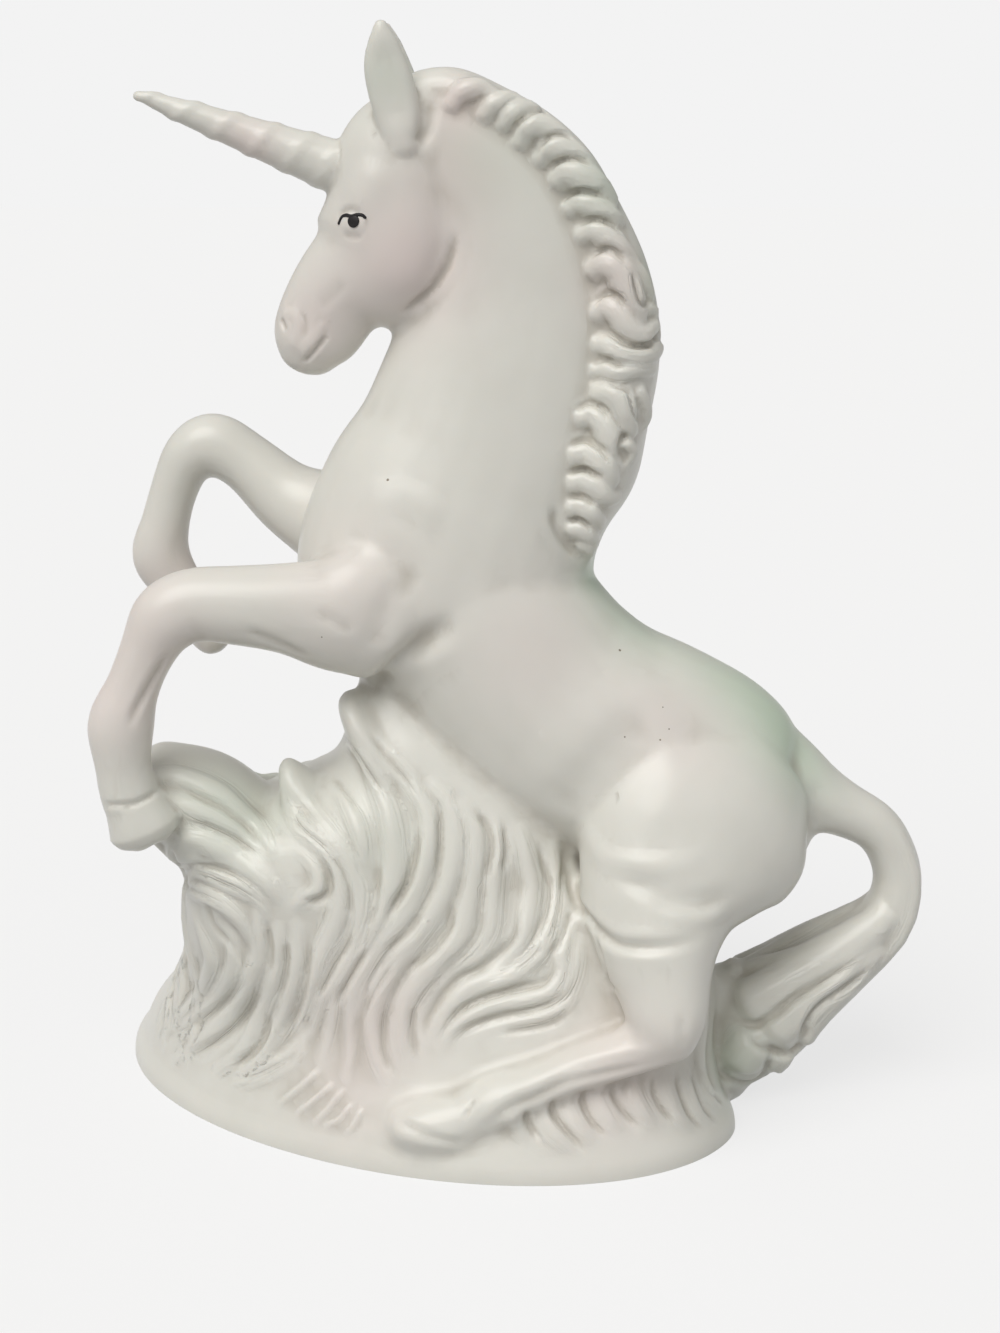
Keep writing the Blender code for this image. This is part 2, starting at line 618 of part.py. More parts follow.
def make_figure():
    """Melt the large forms softly, add the crisp ones, and finish the casting."""
    figure = bpy.data.objects.new("unicorn_figure", bpy.data.meshes.new("unicorn_figure"))
    scene_collection("unicorn_sculpture").objects.link(figure)
    ground = ground_forms()
    melt(figure, ground + body_forms(), BODY_VOXEL, BODY_SMOOTH_STEPS)
    melt(figure, [figure.data.copy()] + fine_forms(ground), SKIN_VOXEL, SKIN_SMOOTH_STEPS)
    keep_largest_skin(figure)
    triangles = sum(len(polygon.vertices) - 2 for polygon in figure.data.polygons)
    apply_modifier(figure, "DECIMATE", ratio=FACES_KEPT / triangles, use_collapse_triangulate=True)
    cut_flat(figure)
    figure.data.materials.append(ceramic_material())
    figure.data.shade_smooth()
    return figure


for old in list(bpy.data.objects):
    bpy.data.objects.remove(old, do_unlink=True)
make_figure()
for leftover in [mesh for mesh in bpy.data.meshes if mesh.users == 0]:
    bpy.data.meshes.remove(leftover)
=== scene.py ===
# %% [markdown]
# # A ceramic unicorn rearing over grass
#
# The figure is one casting of satin white porcelain: an oval foot, a mound of swirling grass,
# and on it a unicorn with a curled mane, a wound horn and a sweeping tail. The only other
# finish is the black brush paint of the two eyes.
#
# The way to model it in Blender is the way a sculptor works in clay. Large forms are laid down
# as rows of ovals and melted into one skin. Hair and grass are rolled as thin strands, laid on
# that skin and melted in too. Then creases are pressed in and folds raised with a modelling
# tool. Everything is in metres, with +Z up, and the unicorn looks towards -X.

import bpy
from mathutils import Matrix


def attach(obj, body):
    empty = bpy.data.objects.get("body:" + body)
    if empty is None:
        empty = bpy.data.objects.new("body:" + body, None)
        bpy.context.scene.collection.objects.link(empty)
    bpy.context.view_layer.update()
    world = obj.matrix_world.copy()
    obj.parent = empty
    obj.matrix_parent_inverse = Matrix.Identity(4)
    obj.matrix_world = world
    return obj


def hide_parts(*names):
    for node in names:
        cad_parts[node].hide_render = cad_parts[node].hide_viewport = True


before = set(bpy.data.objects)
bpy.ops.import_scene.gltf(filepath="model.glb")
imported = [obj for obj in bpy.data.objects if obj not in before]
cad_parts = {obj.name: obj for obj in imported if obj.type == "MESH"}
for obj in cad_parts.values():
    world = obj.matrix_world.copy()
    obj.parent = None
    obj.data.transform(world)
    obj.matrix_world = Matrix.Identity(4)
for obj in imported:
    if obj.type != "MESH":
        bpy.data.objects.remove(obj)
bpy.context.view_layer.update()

# %% Other imports and the unit
import math

import bmesh
import bpy
import numpy as np
from mathutils import Matrix, Vector
from mathutils.bvhtree import BVHTree
from mathutils.kdtree import KDTree

MM = 0.001

# %% [markdown]
# ## The camera
#
# The figure was photographed from a little above, with its left side towards the lens. All the
# shapes below were measured from that one view, so the camera comes first: creases and strands
# are laid on the skin as they are seen from there.

# %% Camera
VIEW_PLACE = Vector((0.0135, -0.42, 0.20))
VIEW_DOWN = math.radians(14.5317)
LENS_MM = 58.653
FILM_MM = 36.0

lens = bpy.data.cameras.new("view_from_the_left")
lens.sensor_fit = "VERTICAL"
lens.sensor_height = FILM_MM
lens.lens = LENS_MM
lens.clip_start = 0.01
camera = bpy.data.objects.new("view_from_the_left", lens)
camera.location = VIEW_PLACE
camera.rotation_euler = (math.radians(90) - VIEW_DOWN, 0, 0)
bpy.context.scene.collection.objects.link(camera)
bpy.context.scene.camera = camera
print("camera stands", round(-VIEW_PLACE.y, 3), "m before the figure")

# %% [markdown]
# ## Large forms as rows of ovals
#
# A neck, a leg or a tail is hard to shape from one box, because its thickness changes all the
# way along. An armature sculptor cuts it into sections instead. Here each section is a circle
# that is stretched to an oval and leant square to the limb's middle line. Bridging the row of
# ovals gives the limb its skin.
#
# A smooth curve is passed through the measured sections first, so a few of them are enough.


# %% Curves through measured sections
def smooth_rows(rows, steps=6):
    """Pass a Catmull-Rom curve through rows of numbers, with steps rows in each span."""
    rows = np.array(rows, dtype=float)
    padded = np.vstack([2 * rows[0] - rows[1], rows, 2 * rows[-1] - rows[-2]])
    out = []
    for index in range(1, len(padded) - 2):
        before, start, end, after = padded[index - 1:index + 3]
        for step in range(steps):
            t = step / steps
            out.append(0.5 * (2 * start + (end - before) * t
                              + (2 * before - 5 * start + 4 * end - after) * t ** 2
                              + (3 * start - before - 3 * end + after) * t ** 3))
    out.append(rows[-1])
    return np.array(out)


print("rows in a curve through 3 sections:", len(smooth_rows([[0], [1], [4]])))


# %% Operators on one object at a time
def pick(*objects):
    """Select only these objects, the first of them active."""
    bpy.ops.object.select_all(action="DESELECT")
    for obj in objects:
        obj.select_set(True)
    bpy.context.view_layer.objects.active = objects[0]


def join(name, objects):
    """Join objects into the first of them and give it a name."""
    pick(*objects)
    if len(objects) > 1:
        bpy.ops.object.join()
    objects[0].name = name
    objects[0].data.name = name
    return objects[0]


def finish_with(obj, kind, **settings):
    """Add one modifier with its settings and apply it."""
    pick(obj)
    bpy.ops.object.modifier_add(type=kind)
    modifier = obj.modifiers[-1]
    for name, value in settings.items():
        setattr(modifier, name, value)
    bpy.ops.object.modifier_apply(modifier=modifier.name)


# %% The ovals of one form
CORNERS = 24
CAP_TURNS = (30, 58, 78)
CAP_REACH = 0.6


def oval_matrix(centre, tangent, high, wide):
    """The matrix that stretches a unit circle, leans it square to the tangent and places it."""
    along = Vector(tangent).normalized()
    across = Vector((0, 1, 0))
    across = (across - along * along.dot(across)).normalized()
    up = along.cross(across)
    turn = Matrix((up, across, along)).transposed().to_4x4()
    return Matrix.Translation(Vector(centre)) @ turn @ Matrix.Diagonal((high, wide, 1, 1))


def with_caps(rows):
    """Add the shrinking ovals that round off both ends of a row."""
    centres = rows[:, :3]
    tangents = np.gradient(centres, axis=0)
    tangents /= np.linalg.norm(tangents, axis=1)[:, None]
    ovals = [(centre, tangent, row[3], row[4])
             for centre, tangent, row in zip(centres, tangents, rows)]
    for end, direction in ((0, -1), (-1, 1)):
        centre, tangent, high, wide = ovals[end]
        cap = []
        for degrees in CAP_TURNS:
            turn = math.radians(degrees)
            reach = direction * CAP_REACH * min(high, wide) * math.sin(turn)
            cap.append((centre + reach * tangent, tangent, high * math.cos(turn), wide * math.cos(turn)))
        ovals = cap[::-1] + ovals if direction < 0 else ovals + cap
    return ovals


print("caps close a form at these angles:", CAP_TURNS)


# %% A row of ovals, bridged
def oval_form(name, rows):
    """Model one form: add a circle for each oval, bridge them all and close the ends."""
    pick(camera)
    bpy.ops.mesh.primitive_circle_add(vertices=CORNERS, radius=1)
    obj = bpy.context.object
    obj.name = name
    bpy.ops.object.mode_set(mode="EDIT")
    bpy.ops.mesh.delete(type="VERT")
    for centre, tangent, high, wide in with_caps(np.array(rows)):
        bpy.ops.mesh.select_all(action="DESELECT")
        bpy.ops.mesh.primitive_circle_add(vertices=CORNERS, radius=1)
        bm = bmesh.from_edit_mesh(obj.data)
        added = [vert for vert in bm.verts if vert.select]
        bmesh.ops.transform(bm, matrix=oval_matrix(centre, tangent, high, wide), verts=added)
        bmesh.update_edit_mesh(obj.data)
    bpy.ops.mesh.select_all(action="SELECT")
    bpy.ops.mesh.bridge_edge_loops()
    bpy.ops.mesh.select_all(action="DESELECT")
    bpy.ops.mesh.select_non_manifold()
    bpy.ops.mesh.edge_face_add()
    bpy.ops.mesh.select_all(action="SELECT")
    bpy.ops.mesh.normals_make_consistent(inside=False)
    bpy.ops.object.mode_set(mode="OBJECT")
    obj.location = (0, 0, 0)
    return obj


def limb(name, sections, steps=6):
    """Model one form from a few measured sections in millimetres."""
    return oval_form(name, smooth_rows(sections, steps) * MM)


# %% [markdown]
# ## The animal's own forms
#
# The sections are measured in millimetres: where the middle of each oval is, how far the form
# stretches from it in the side view, and how wide it is across. Smoothing wears every form down
# a little, so each one starts that much thicker.

# %% Neck, barrel, head and tail
WEAR_MM = 0.4
NECK = (
    (-2, 197.4, 8.5, 6.6), (5, 191, 14.8, 7.8), (13, 179, 17.3, 8.8), (16.4, 163, 20.1, 10.5),
    (14.4, 148.2, 23.4, 12.8), (10.7, 135, 25.2, 15.3), (5.4, 121.7, 28, 18.3),
    (1.8, 108, 28.2, 20), (3, 96, 20, 17),
)
BARREL = (
    (-2, 113, 16, 17), (7, 104, 22, 20.5), (20, 86, 24.5, 22), (31.5, 77.5, 24.1, 23),
    (42.5, 72.5, 24, 22), (54, 66, 23.7, 20.5), (64, 60, 19.5, 16), (71, 58, 12, 10),
)
HEAD = (
    (-1, 198, 8, 6.8), (-5.5, 190.5, 11.3, 9), (-6.8, 181.5, 12.3, 10.2), (-8.8, 172, 14.2, 10),
    (-16.5, 166, 9.6, 7.6), (-20.5, 159.7, 8.7, 6.2), (-22.8, 155.2, 7.6, 6), (-23.8, 152.4, 5.4, 4.8),
)
TAIL = (
    (60, 76, 9, 9), (67.5, 71.6, 8.4, 8.6), (75, 65.4, 7.7, 8), (82.6, 61.6, 5.5, 6.4),
    (90.3, 57.2, 4.7, 5.4),
    (94.3, 50, 4.6, 5.2), (94.8, 43.5, 4.8, 5.4), (92, 36.3, 5.6, 6), (84.4, 29.4, 6.8, 7.2),
    (75.6, 22.4, 8.8, 9), (68, 16.2, 10.8, 10.6), (60, 9.5, 9, 10.5), (54, 8, 6, 9),
)


def middle_form(name, table):
    """A form on the middle plane, from x, z, half height and half width in millimetres."""
    return limb(name, [(x, 0, z, high + WEAR_MM, wide + WEAR_MM) for x, z, high, wide in table])


forms = [
    middle_form("neck", NECK),
    middle_form("barrel", BARREL),
    middle_form("head", HEAD),
    middle_form("tail", TAIL),
]
print("forms on the middle plane:", [form.name for form in forms])

# %% [markdown]
# ## Legs and haunches
#
# The legs lean out from the middle plane as they go down, so each section also says how far out
# it lies, as a share of the leg's spread at its hoof. The hind legs are a pair, modelled once and
# made on both sides. The forelegs are raised to different heights and have a table each.

# %% Forelegs and hind legs
FORELEG_SPREAD = 18.0
HIP_SPREAD = 11.0
HOCK_SPREAD = 34.0
NEAR_FORELEG = (
    (4, 0.15, 113, 20, 11), (-7, 0.6, 107.5, 16, 9.6), (-17, 0.85, 105.6, 11.6, 8.6),
    (-27, 0.95, 107, 8.6, 7.6), (-37, 1, 107.8, 7.3, 7), (-45, 1.02, 108, 6.7, 6.5),
    (-50, 1.04, 105.2, 6.6, 6.3), (-53.4, 1.05, 99.5, 5.2, 5.2), (-56.6, 1.06, 92.3, 4.9, 4.8),
    (-59.2, 1.08, 84.8, 6.2, 5.6), (-59.2, 1.08, 77, 5.2, 5), (-58.2, 1.08, 70.6, 5.4, 5.2),
    (-56.8, 1.08, 66, 5, 5), (-56, 1.08, 64.4, 4, 4.2),
)
FAR_FORELEG = (
    (2, 0.15, 114, 18, 10), (-10, 0.5, 114, 13.6, 9), (-21.3, 0.8, 118.4, 9.8, 8.2),
    (-29.7, 0.95, 122.3, 7.3, 7.2), (-37.8, 1, 129.3, 5.8, 6.4), (-44.5, 1, 133.1, 6.1, 6.2),
    (-49.4, 1, 131, 5.2, 5.8), (-52.7, 1, 124.5, 4.6, 4.8), (-55, 1, 117, 4.7, 4.7),
    (-56.2, 1, 110.2, 5.8, 5), (-53, 1, 104, 5, 4.6), (-50, 1, 98.8, 4.8, 5.2),
    (-47.6, 1, 95, 4.2, 5), (-45.4, 1, 91.8, 3.6, 4.2),
)
THIGH = (
    (62, -0.1, 73, 16, 9.5), (56, 0.1, 66.5, 22.4, 13), (49.2, 0.3, 59.2, 21.4, 13.5),
    (45, 0.52, 50.4, 16.4, 12.2), (44.2, 0.74, 43, 12, 10.2), (45, 0.9, 35.5, 8.9, 8.2),
    (45.8, 1, 30, 7.4, 7), (46.2, 1, 26, 5.4, 5.8),
)
HIND_CANNON = (
    (47, 1, 27.5, 5.4, 6), (39, 1, 23.8, 4.4, 5.2), (29, 1.04, 20.6, 4, 4.8),
    (20, 1.08, 17.4, 4, 4.7), (13.5, 1.12, 14.8, 4.8, 5.2), (8.5, 1.12, 12, 4.6, 4.9),
    (4, 1.1, 9.8, 5.4, 5.8), (-1.5, 1.06, 8.8, 5.2, 6.2), (-5.5, 1.02, 8.8, 3.6, 5.2),
)


def leg_form(name, table, inner, spread, side):
    """A leg from x, share of the spread, z, half height and half width, on one side."""
    return limb(name, [(x, side * (inner + share * (spread - inner)), z, high + WEAR_MM, wide + WEAR_MM)
                       for x, share, z, high, wide in table])


forms.append(leg_form("near_foreleg", NEAR_FORELEG, 0, FORELEG_SPREAD, -1))
forms.append(leg_form("far_foreleg", FAR_FORELEG, 0, FORELEG_SPREAD, 1))
for side, word in ((-1, "near"), (1, "far")):
    forms.append(leg_form(word + "_thigh", THIGH, HIP_SPREAD, HOCK_SPREAD, side))
    forms.append(leg_form(word + "_hind_cannon", HIND_CANNON, HIP_SPREAD, HOCK_SPREAD, side))
print("forms with the legs:", len(forms))

# %% [markdown]
# ## The band of hair on the crest
#
# The mane is carved as a thick band that hugs the crest, from between the ears to the withers,
# and the locks are cut into it later. Its sections run from an edge on the neck to the crest.

# %% Mane band
MANE_EDGE = (
    (-3, 199), (4, 199), (10, 196), (17, 193), (22.7, 187), (26, 179.5), (29, 169.7),
    (30.2, 159.7), (29.6, 150), (28, 138), (26, 128), (25.5, 119), (28.5, 112.5),
)
MANE_CREST = (
    (-2, 206), (5, 206.8), (14.2, 203.2), (24.2, 197), (31.4, 190), (36.2, 181.6),
    (41.2, 171.5), (43.9, 162), (44.1, 153.5), (41.9, 143), (39.8, 134), (34.4, 125.5), (31.6, 114.2),
)
MANE_HALF_DEPTH = (5, 6.5, 7.4, 7.5, 8, 8.6, 9.4, 10, 10.8, 12, 12.8, 12.4, 9.4)

band_rows = []
for edge, crest, deep in zip(MANE_EDGE, MANE_CREST, MANE_HALF_DEPTH):
    half = math.hypot(crest[0] - edge[0], crest[1] - edge[1]) / 2
    band_rows.append(((edge[0] + crest[0]) / 2, 0, (edge[1] + crest[1]) / 2, half, deep))
forms.append(limb("mane_band", band_rows, 4))
print("mane band sections:", len(band_rows))

# %% [markdown]
# ## Foot and mound
#
# The foot is an egg-shaped slab with a rounded edge, turned a little: a cylinder whose near half
# is stretched further than its far half. The mound above it is a stack of such ovals that are
# squared off in the middle, where grass fills the corners under the belly. No circle operator
# squares an oval, so those rings are written out point by point.

# %% Foot
FOOT_HALF_LENGTH = 68.9
FOOT_NEAR_DEPTH = 44.9
FOOT_FAR_DEPTH = 34.0
FOOT_TURN = math.radians(-27)
FOOT_MIDDLE = (-2.0, 7.0)
FOOT_HEIGHT = 6.0
LIP_RADIUS = 5.0
BELOW_FOOT = 4.0

pick(camera)
bpy.ops.mesh.primitive_cylinder_add(vertices=96, radius=1, depth=(FOOT_HEIGHT + BELOW_FOOT) * MM,
                                    location=(0, 0, (FOOT_HEIGHT - BELOW_FOOT) / 2 * MM))
foot = bpy.context.object
foot.name = "foot"
bpy.ops.object.mode_set(mode="EDIT")
bpy.ops.mesh.select_all(action="SELECT")
bpy.ops.transform.resize(value=(FOOT_HALF_LENGTH * MM, FOOT_NEAR_DEPTH * MM, 1),
                         center_override=(0, 0, 0))
bpy.ops.mesh.select_all(action="DESELECT")
bm = bmesh.from_edit_mesh(foot.data)
for vert in bm.verts:
    vert.select = vert.co.y > 0
bm.select_flush_mode()
bmesh.update_edit_mesh(foot.data)
bpy.ops.transform.resize(value=(1, FOOT_FAR_DEPTH / FOOT_NEAR_DEPTH, 1), center_override=(0, 0, 0))
bpy.ops.mesh.select_all(action="DESELECT")
bm = bmesh.from_edit_mesh(foot.data)
for face in bm.faces:
    face.select = face.normal.z > 0.9
bmesh.update_edit_mesh(foot.data)
bpy.ops.mesh.bevel(offset=LIP_RADIUS * MM, segments=6, affect="EDGES")
bpy.ops.object.mode_set(mode="OBJECT")
foot.data.transform(Matrix.Translation((0, 0, foot.location.z)))
foot.location = (0, 0, 0)
foot.data.transform(Matrix.Translation((FOOT_MIDDLE[0] * MM, FOOT_MIDDLE[1] * MM, 0))
                    @ Matrix.Rotation(FOOT_TURN, 4, "Z"))
ground = [foot]
print("foot faces:", len(foot.data.polygons))

# %% Mound
MOUND_CORNERS = 60
# z, middle x and y, half length, near and far depth, turn in degrees, and squareness.
MOUND = (
    (-6, -2, 6, 62, 40, 31, -27, 1), (4, -2, 6, 66, 42.5, 32.5, -27, 1),
    (10, -2, 5.5, 64, 40, 32, -25, 1), (16, -1, 4, 60.5, 36.5, 31.5, -21, 1),
    (24, 2, 2, 56.5, 33, 31, -15, 0.95), (32, 2, 0, 53.5, 29.5, 29.5, -8, 0.85),
    (42, -2, 0, 49, 27.5, 27.5, -4, 0.75), (52, -8, 0, 41, 26, 26, 0, 0.7),
    (60, -7, 0, 36, 24.5, 24.5, 0, 0.7), (66, -3, 0, 29, 22.5, 22.5, 0, 0.75),
    (72, 0, 0, 21, 20, 20, 0, 0.85), (80, -4, 0, 13, 17, 17, 0, 1), (88, -9, 0, 6, 11, 11, 0, 1),
)
points = []
for height, middle_x, middle_y, half_length, near_deep, far_deep, degrees, power in smooth_rows(MOUND, 4):
    turn = Matrix.Rotation(math.radians(degrees), 3, "Z")
    middle = Vector((middle_x, middle_y, height))
    for corner in range(MOUND_CORNERS):
        angle = 2 * math.pi * corner / MOUND_CORNERS
        deep = far_deep if math.sin(angle) > 0 else near_deep
        run = half_length * math.copysign(abs(math.cos(angle)) ** power, math.cos(angle))
        rise = deep * math.copysign(abs(math.sin(angle)) ** power, math.sin(angle))
        points.append((turn @ Vector((run, rise, 0)) + middle) * MM)
ring_count = len(points) // MOUND_CORNERS
faces = [tuple(range(MOUND_CORNERS))[::-1], tuple(range(len(points) - MOUND_CORNERS, len(points)))]
for ring in range(ring_count - 1):
    for corner in range(MOUND_CORNERS):
        here = ring * MOUND_CORNERS + corner
        after = ring * MOUND_CORNERS + (corner + 1) % MOUND_CORNERS
        faces.append((here, after, after + MOUND_CORNERS, here + MOUND_CORNERS))
mesh = bpy.data.meshes.new("mound")
mesh.from_pydata(points, [], faces)
mound = bpy.data.objects.new("mound", mesh)
bpy.context.scene.collection.objects.link(mound)
ground.append(mound)
print("mound rings:", ring_count)

# %% [markdown]
# ## Bunches that lift out of the mound
#
# Four bunches of grass stand free of the mound: a broad one that carries the raised hoof, two
# that lick up before the belly like small flames, and one that fills the corner between the hocks
# and the tail. Each is a short row of ovals too.

# %% Bunches
BUNCHES = (
    ((-24, -2, 48, 12, 18), (-35, -3, 53.5, 11, 17), (-46.4, -4, 62.8, 11.6, 15.5),
     (-56, -5, 68.4, 8.6, 13.5)),
    ((-14, -6, 53, 9, 14), (-21, -8, 61, 7, 11), (-26.5, -10, 69.5, 3.8, 7.5), (-28.8, -11, 74, 1.8, 4)),
    ((-3, -4, 62, 10, 16), (-8.2, -7, 73, 5.8, 13), (-13.8, -9, 82, 3.6, 9.5), (-16.4, -10, 86.6, 2.4, 6)),
    ((58, 0, 2, 8, 9), (58.5, 0, 13, 6.5, 8), (59.5, 0, 21.5, 5.2, 7), (60.5, 0, 25.2, 3.6, 5.5)),
)
for number, bunch in enumerate(BUNCHES):
    ground.append(limb("bunch_%d" % number, bunch))
print("ground forms:", len(ground))

# %% [markdown]
# ## Melting the forms together
#
# Clay forms are smeared into each other until no joint shows. Blender's voxel Remesh does the
# joining: it draws one skin round all the closed forms. The Smooth modifier then wears the
# joints soft, many light passes at a time.


# %% First melt
BODY_VOXEL = 0.8
BODY_SMOOTHING = 14.5


def smooth_passes(voxel_mm, reach):
    """How many Smooth passes wear the skin over the same distance at this voxel size."""
    return max(1, round(reach / voxel_mm ** 2))


def melt(obj, voxel_mm, reach):
    """Draw one skin round the object's closed shells, then wear it smooth."""
    finish_with(obj, "REMESH", mode="VOXEL", voxel_size=voxel_mm * MM)
    finish_with(obj, "SMOOTH", factor=0.5, iterations=smooth_passes(voxel_mm, reach))


sculpture = join("unicorn_sculpture", forms + ground)
melt(sculpture, BODY_VOXEL, BODY_SMOOTHING)
print("faces after the first melt:", len(sculpture.data.polygons))

# %% [markdown]
# ## Laying things on the skin
#
# Every lock, blade and crease was measured as it is seen from the camera, in millimetres on a
# plane through the figure. A line from the camera through that spot meets the skin where the
# lock really lies, which is how a line drawn on a window finds its place on the thing behind
# it. The far side repeats the near one, mirrored.


# %% From the view to the skin
class Skin:
    """The skin as it is now, for finding places on it."""

    def __init__(self, obj):
        bm = bmesh.new()
        bm.from_mesh(obj.data)
        self.tree = BVHTree.FromBMesh(bm)
        bm.free()

    def seen(self, x, z, plane_y=0.0):
        """The place on the skin that is seen through x, z (mm) on the plane y."""
        through = Vector((x, plane_y, z)) * MM
        ray = (through - VIEW_PLACE).normalized()
        place, normal, _, _ = self.tree.ray_cast(VIEW_PLACE, ray)
        if place is None:
            place, normal, _, _ = self.tree.find_nearest(through)
        return place, normal

    def nearest(self, place):
        """The closest place on the skin, and which way it faces."""
        found, normal, _, _ = self.tree.find_nearest(place)
        return found, normal

    def path(self, drawn, plane_y=0.0, steps=4, sink=0.0, side=-1):
        """A drawn line of x, z in mm as places on the skin, sunk in by so many mm."""
        out = []
        for x, z in smooth_rows(drawn, steps):
            place, normal = self.seen(x, z, plane_y)
            if side > 0:
                place, normal = self.nearest(Vector((place.x, -place.y, place.z)))
            out.append(place - normal * sink * MM)
        return out


skin = Skin(sculpture)
print("top of the skull in mm:", [round(value / MM, 1) for value in skin.seen(-1, 200)[0]])


# %% The ends of a strand
END_BULGE = 0.6
END_TURNS = (25, 48, 66, 80)


def rounded(places, radii):
    """The same strand with both ends rounded off by rings that close in."""
    places, radii = list(places), list(radii)
    for _ in range(2):
        places.reverse()
        radii.reverse()
        way = (places[-1] - places[-2]).normalized()
        tip, radius = places[-1], radii[-1]
        for degrees in END_TURNS:
            angle = math.radians(degrees)
            places.append(tip + way * radius * END_BULGE * math.sin(angle))
            radii.append(radius * math.cos(angle))
    return places, radii


def tapered(count, radius_mm, root, tip):
    """Radii along a strand that thins to shares of its radius at its root and its tip."""
    out = []
    for index in range(count):
        share = index / (count - 1)
        swell = math.sin(math.pi * (0.12 + 0.76 * share))
        floor = root + (tip - root) * share
        out.append(radius_mm * MM * (floor + (1 - floor) * swell))
    return out


print("radii of a strand of 2 mm:", [round(radius / MM, 2) for radius in tapered(5, 2, 0.4, 0.3)])


# %% Strands
def strands(name, paths):
    """Roll strands of clay: each path is its places and its radii in metres."""
    curve = bpy.data.curves.new(name, "CURVE")
    curve.dimensions = "3D"
    curve.bevel_depth = 1.0
    curve.bevel_resolution = 4
    curve.use_fill_caps = True
    for drawn_places, drawn_radii in paths:
        places, radii = rounded(drawn_places, drawn_radii)
        spline = curve.splines.new("POLY")
        spline.points.add(len(places) - 1)
        for point, place, radius in zip(spline.points, places, radii):
            point.co = (*place, 1)
            point.radius = radius
    obj = bpy.data.objects.new(name, curve)
    bpy.context.scene.collection.objects.link(obj)
    pick(obj)
    bpy.ops.object.convert(target="MESH")
    obj = bpy.context.object
    bpy.ops.object.mode_set(mode="EDIT")
    bpy.ops.mesh.select_all(action="SELECT")
    bpy.ops.mesh.remove_doubles(threshold=1e-6)
    bpy.ops.mesh.normals_make_consistent(inside=False)
    bpy.ops.object.mode_set(mode="OBJECT")
    return obj


def laid(rows, plane_y, steps, sink, root, tip):
    """Lay strands of a radius and x, z points on the near side of the skin, then on the far one."""
    out = []
    for side in (-1, 1):
        for radius, *drawn in rows:
            places = skin.path(drawn, plane_y, steps, sink * radius, side)
            out.append((places, tapered(len(places), radius, root, tip)))
    return out


# %% [markdown]
# ## Locks of the tail
#
# The tail's end parts into fat locks that roll over each other on the ground. Each is a strand
# that starts thin on the tail and stays thick to its round end, sunk in by a third of its radius.

# %% Tail locks
# Radius in mm, then x and z in mm on the middle plane, from root to tip.
TAIL_LOCKS = (
    (2.8, (92, 40.5), (86.5, 34.6), (80, 31), (73, 28.6), (67, 27.2), (62, 26)),
    (5.4, (92.5, 38.5), (86, 32.6), (80, 28.6), (74.4, 24.8), (69.6, 21.8), (65.4, 19.6)),
    (4.6, (90, 31), (84, 25.4), (78, 19.6), (74, 15), (71.6, 12.4)),
    (3.6, (92, 30.5), (87, 24.2), (81.8, 18.4), (78.4, 13.6), (77.2, 11.2)),
    (5.2, (68, 11.5), (65.6, 8.4), (64.4, 5.8)),
    (3.0, (74, 8.6), (72.4, 5.6), (71.4, 4.4)),
)
TAIL_SINK = 0.36
TAIL_ENDS = (0.35, 0.95)

tail_paths = laid(TAIL_LOCKS, 0.0, 4, TAIL_SINK, *TAIL_ENDS)
tail_locks = strands("tail_locks", tail_paths)
print("tail strands:", len(tail_paths))

# %% [markdown]
# ## Bunches and blades of grass
#
# The grass is a crowd of long soft ridges that sweep down from the belly, swirl to the left under
# it and fan out over the foot. Each ridge is a fat strand, half sunk in the mound and set close
# to its neighbour. They are melted in with much more smoothing than the hair gets, which turns
# them from strings into soft folds. They are laid in the order in which they were measured, from
# the raised hoof to the tail.

